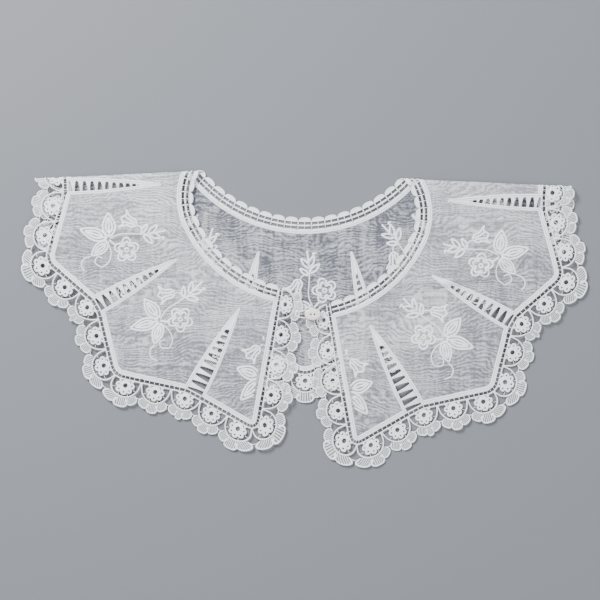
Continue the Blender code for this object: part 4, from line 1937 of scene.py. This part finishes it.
@dataclass
class Fastening:
    """The pearl button, its wound stub and the cord loop that holds it."""

    button_at = (6.0, -111.0)
    half_width: float = 6.2
    half_depth: float = 4.5
    hole_spread: float = 1.4
    hole_radius: float = 0.62
    loop_half: float = 3.2
    loop_length: float = 16.5
    strand: float = 0.33
    twist: float = 2.6
    button_sides: int = 72
    stub_sides: int = 36

    def middle(self, node: str) -> Array:
        """Return the middle of a solid's box, in millimetres."""
        low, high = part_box(node)
        return (np.array(low) + np.array(high)) / 2.0 / MM

    def button(self) -> bpy.types.Object:
        """Return the button.

        Formula: at share s of the radius and angle a its top is a low dome with a rolled rim and
        a shallow dish, and each sewing hole is a well with a soft lip. Its underside is flatter.

        Returns:
            The closed oval button.
        """
        low, high = (np.array(corner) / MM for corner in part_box("button"))
        middle = (low + high) / 2.0
        tall = high[2] - low[2]
        angle = np.arange(self.button_sides) * 2.0 * math.pi / self.button_sides
        dish, rim = np.linspace(0.02, 0.5, 15), np.linspace(0.54, 0.93, 9)
        share = np.concatenate([dish, rim, (0.97, 0.99, 1.0)])
        dip = 0.10 * (1.0 - smoothstep(share / 0.62))
        top = tall * (0.62 + 0.34 * np.sqrt(1.0 - share**2) - dip)
        x = self.half_width * share[:, None] * np.cos(angle)
        y = self.half_depth * share[:, None] * np.sin(angle)
        z = np.broadcast_to(top[:, None], x.shape).copy()
        well = np.zeros_like(x)
        for side in (-1.0, 1.0):
            near = np.hypot(x - side * self.hole_spread, y)
            well += 1.0 - smoothstep((near - self.hole_radius * 0.7) / (self.hole_radius * 0.6))
        z -= 1.5 * np.minimum(well, 1.0)
        edge = [(1.0, 0.5), (0.985, 0.28), (0.93, 0.08), (0.6, 0.0), (0.03, 0.0)]
        rows = [np.stack([x, y, z], axis=-1)]
        for part, height in edge:
            ring_x = self.half_width * part * np.cos(angle)
            ring_y = self.half_depth * part * np.sin(angle)
            level = np.full(self.button_sides, height * tall)
            rows.append(np.stack([ring_x, ring_y, level], axis=-1)[None])
        points = np.vstack([row.reshape(-1, 3) for row in rows]) + (middle[0], middle[1], low[2])
        count = len(share) + len(edge)
        sides = self.button_sides
        faces = np.vstack([net(count, sides, True), end_caps(count, sides)])
        piece = add_piece("pearl_button", points * MM, faces[:, ::-1])
        # The holes' mask, which the pearl finish paints dark amber as shade.
        deep = np.concatenate([np.minimum(well, 1.0).ravel(), np.zeros(sides * len(edge))])
        mark(piece, "well", deep)
        return piece

    def stub(self) -> bpy.types.Object:
        """Return the wound stub: a short drum whose radius swells with each turn of thread.

        Returns:
            The closed stub.
        """
        low, high = (np.array(corner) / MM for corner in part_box("button_thread"))
        middle = (low + high) / 2.0
        radius = (high[0] - low[0]) / 2.0
        angle = np.arange(self.stub_sides) * 2.0 * math.pi / self.stub_sides
        up = np.linspace(0.0, 1.0, 13)
        reach = radius * (0.93 + 0.06 * np.cos(up * 8.0 * math.pi))
        reach[[0, -1]] = radius * 0.4
        x = middle[0] + reach[:, None] * np.cos(angle)
        y = middle[1] + reach[:, None] * np.sin(angle)
        z = np.broadcast_to((low[2] + up * (high[2] - low[2]))[:, None], x.shape)
        points = np.stack([x, y, z], axis=-1).reshape(-1, 3)
        stitch = np.stack([x, z], axis=-1).reshape(-1, 2)
        count, sides = len(up), self.stub_sides
        faces = np.vstack([net(count, sides, True), end_caps(count, sides)])
        return add_piece("wound_stub", points * MM, faces, stitch)

    def loop(self) -> bpy.types.Object:
        """Return the loop: two strands twisted round each other along its path.

        Formula: the path is two half-circles and the straights between them, and each strand
        goes round it once in every twist, half a turn from the other.

        Returns:
            Both strands as one piece.
        """
        low, high = (np.array(corner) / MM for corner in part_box("loop"))
        base = (low[2] + high[2]) / 2.0
        at = self.middle("button")[:2]
        far_half = self.loop_half * 0.7
        turn = np.linspace(-math.pi / 2.0, math.pi / 2.0, 12)
        half_turn = np.column_stack([np.cos(turn), np.sin(turn)])
        right = at + half_turn * self.loop_half
        far = at[0] + self.loop_half - self.loop_length + far_half
        left = np.column_stack([far - np.cos(turn) * far_half, at[1] - np.sin(turn) * far_half])
        path = evenly(closed(np.vstack([right, left])), 0.35)[:-1]
        run = lengths_along(closed(path))
        across = turned(unit(np.roll(path, -1, axis=0) - np.roll(path, 1, axis=0)))
        twists = round(run[-1] / self.twist)
        rows = []
        for start in (0.0, math.pi):
            phase = run[:-1] / run[-1] * twists * 2.0 * math.pi + start
            flat = path + across * (self.strand * 0.55 * np.cos(phase))[:, None]
            strand = cord(flat, self.strand, self.strand, ring=True, sides=7)
            lift = np.repeat(self.strand * 0.55 * np.sin(phase), 7)
            strand.points[:, 2] += lift + base
            rows.append(strand)
        whole = joined(rows)
        return add_piece("cord_loop", whole.points * MM, whole.faces, whole.stitch)


@dataclass(frozen=True)
class Studio:
    """The table, the soft light and the camera straight above the collar."""

    middle: tuple[float, float] = (-0.0035, 0.0145)
    span: float = 0.468
    lens: float = 110.0
    sensor: float = 36.0

    def table(self) -> None:
        """Lay the pale table top under the collar."""
        edge = np.linspace(-6.0, 6.0, 13)
        grid = np.stack(np.meshgrid(edge, edge), axis=-1).reshape(-1, 2)
        points = np.column_stack([grid, np.full(len(grid), -0.0001)])
        top = add_piece("table_top", points, net(len(edge), len(edge)))
        top.data.materials.append(TableFinish().make())

    def light(
        self, name: str, place: tuple[float, float, float], size: float, power: float
    ) -> None:
        """Hang one soft square light that faces the collar.

        Args:
            name: The lamp's name.
            place: Where it hangs, in metres.
            size: The length of its side, in metres.
            power: Its power in watts.
        """
        lamp = bpy.data.lights.new(name, "AREA")
        lamp.shape, lamp.size, lamp.energy = "SQUARE", size, power
        holder = bpy.data.objects.new(name, lamp)
        holder.location = place
        way = Vector((self.middle[0], self.middle[1], 0.0)) - Vector(place)
        holder.rotation_euler = way.to_track_quat("-Z", "Y").to_euler()
        bpy.context.scene.collection.objects.link(holder)

    def build(self) -> None:
        """Set up the table, two soft lights, an even room and the camera."""
        self.table()
        self.light("window", (-0.75, 0.95, 0.95), 0.6, 64.0)
        self.light("card", (0.9, -0.5, 1.1), 0.9, 10.0)
        room = bpy.data.worlds.new("room")
        room.use_nodes = True
        room.node_tree.nodes["Background"].inputs["Color"].default_value = rgba(0.90, 0.94, 1.0)
        room.node_tree.nodes["Background"].inputs["Strength"].default_value = 0.86
        bpy.context.scene.world = room
        lens = bpy.data.cameras.new("camera")
        lens.lens, lens.sensor_width = self.lens, self.sensor
        camera = bpy.data.objects.new("camera", lens)
        camera.location = (*self.middle, self.span * self.lens / self.sensor)
        lens.clip_start, lens.clip_end = 0.05, 50.0
        bpy.context.scene.collection.objects.link(camera)
        bpy.context.scene.camera = camera


def main() -> None:
    """Build the collar piece by piece, light it and report what was made."""
    logging.basicConfig(level=logging.INFO, format="%(message)s")
    lay = Lay(Draft())
    thread = ThreadFinish("lace_thread").make()
    # The satin's second colour is painted shade between its ribs and in its groove, and a random
    # tone.
    pale, satin_shade_and_tone = rgba(0.82, 0.83, 0.86), rgba(0.60, 0.62, 0.68)
    satin = ThreadFinish("satin_stitch", pale, satin_shade_and_tone, 0.55, 0.08, 0.3).make()
    twist = ThreadFinish("sewing_thread", pitch=0.5, depth=0.06).make()

    cloth = SheerCloth(lay)
    sheet = cloth.build()
    dress(sheet, SheerFinish().make(), "sheer_cloth", "body")
    border = SatinBorder(lay).build()
    dress(border, satin, "sheer_cloth")
    ladders = LadderThreads(lay).build()
    names = [f"ladder_{side}_{ladder.name}" for side in ("left", "right") for ladder in LADDERS]
    dress(ladders, thread, "ladder_thread", *names)
    edging = EdgingLace(lay).build()
    for length in edging:
        dress(length, thread, "lace", "edging")
    trim = NeckTrim(lay).build()
    dress(trim, thread, "lace", "neck_trim")
    sprays = Embroidery(lay).build()
    dress(sprays, satin, "sheer_cloth")

    fastening = Fastening()
    dress(fastening.button(), PearlFinish().make(), "pearl", "button")
    dress(fastening.stub(), twist, "cotton_thread", "button_thread")
    dress(fastening.loop(), twist, "cotton_thread", "loop")

    hem = lay.draft.hem(False)
    cloth.flat_area()
    Studio().build()


if __name__ == "__main__":
    main()
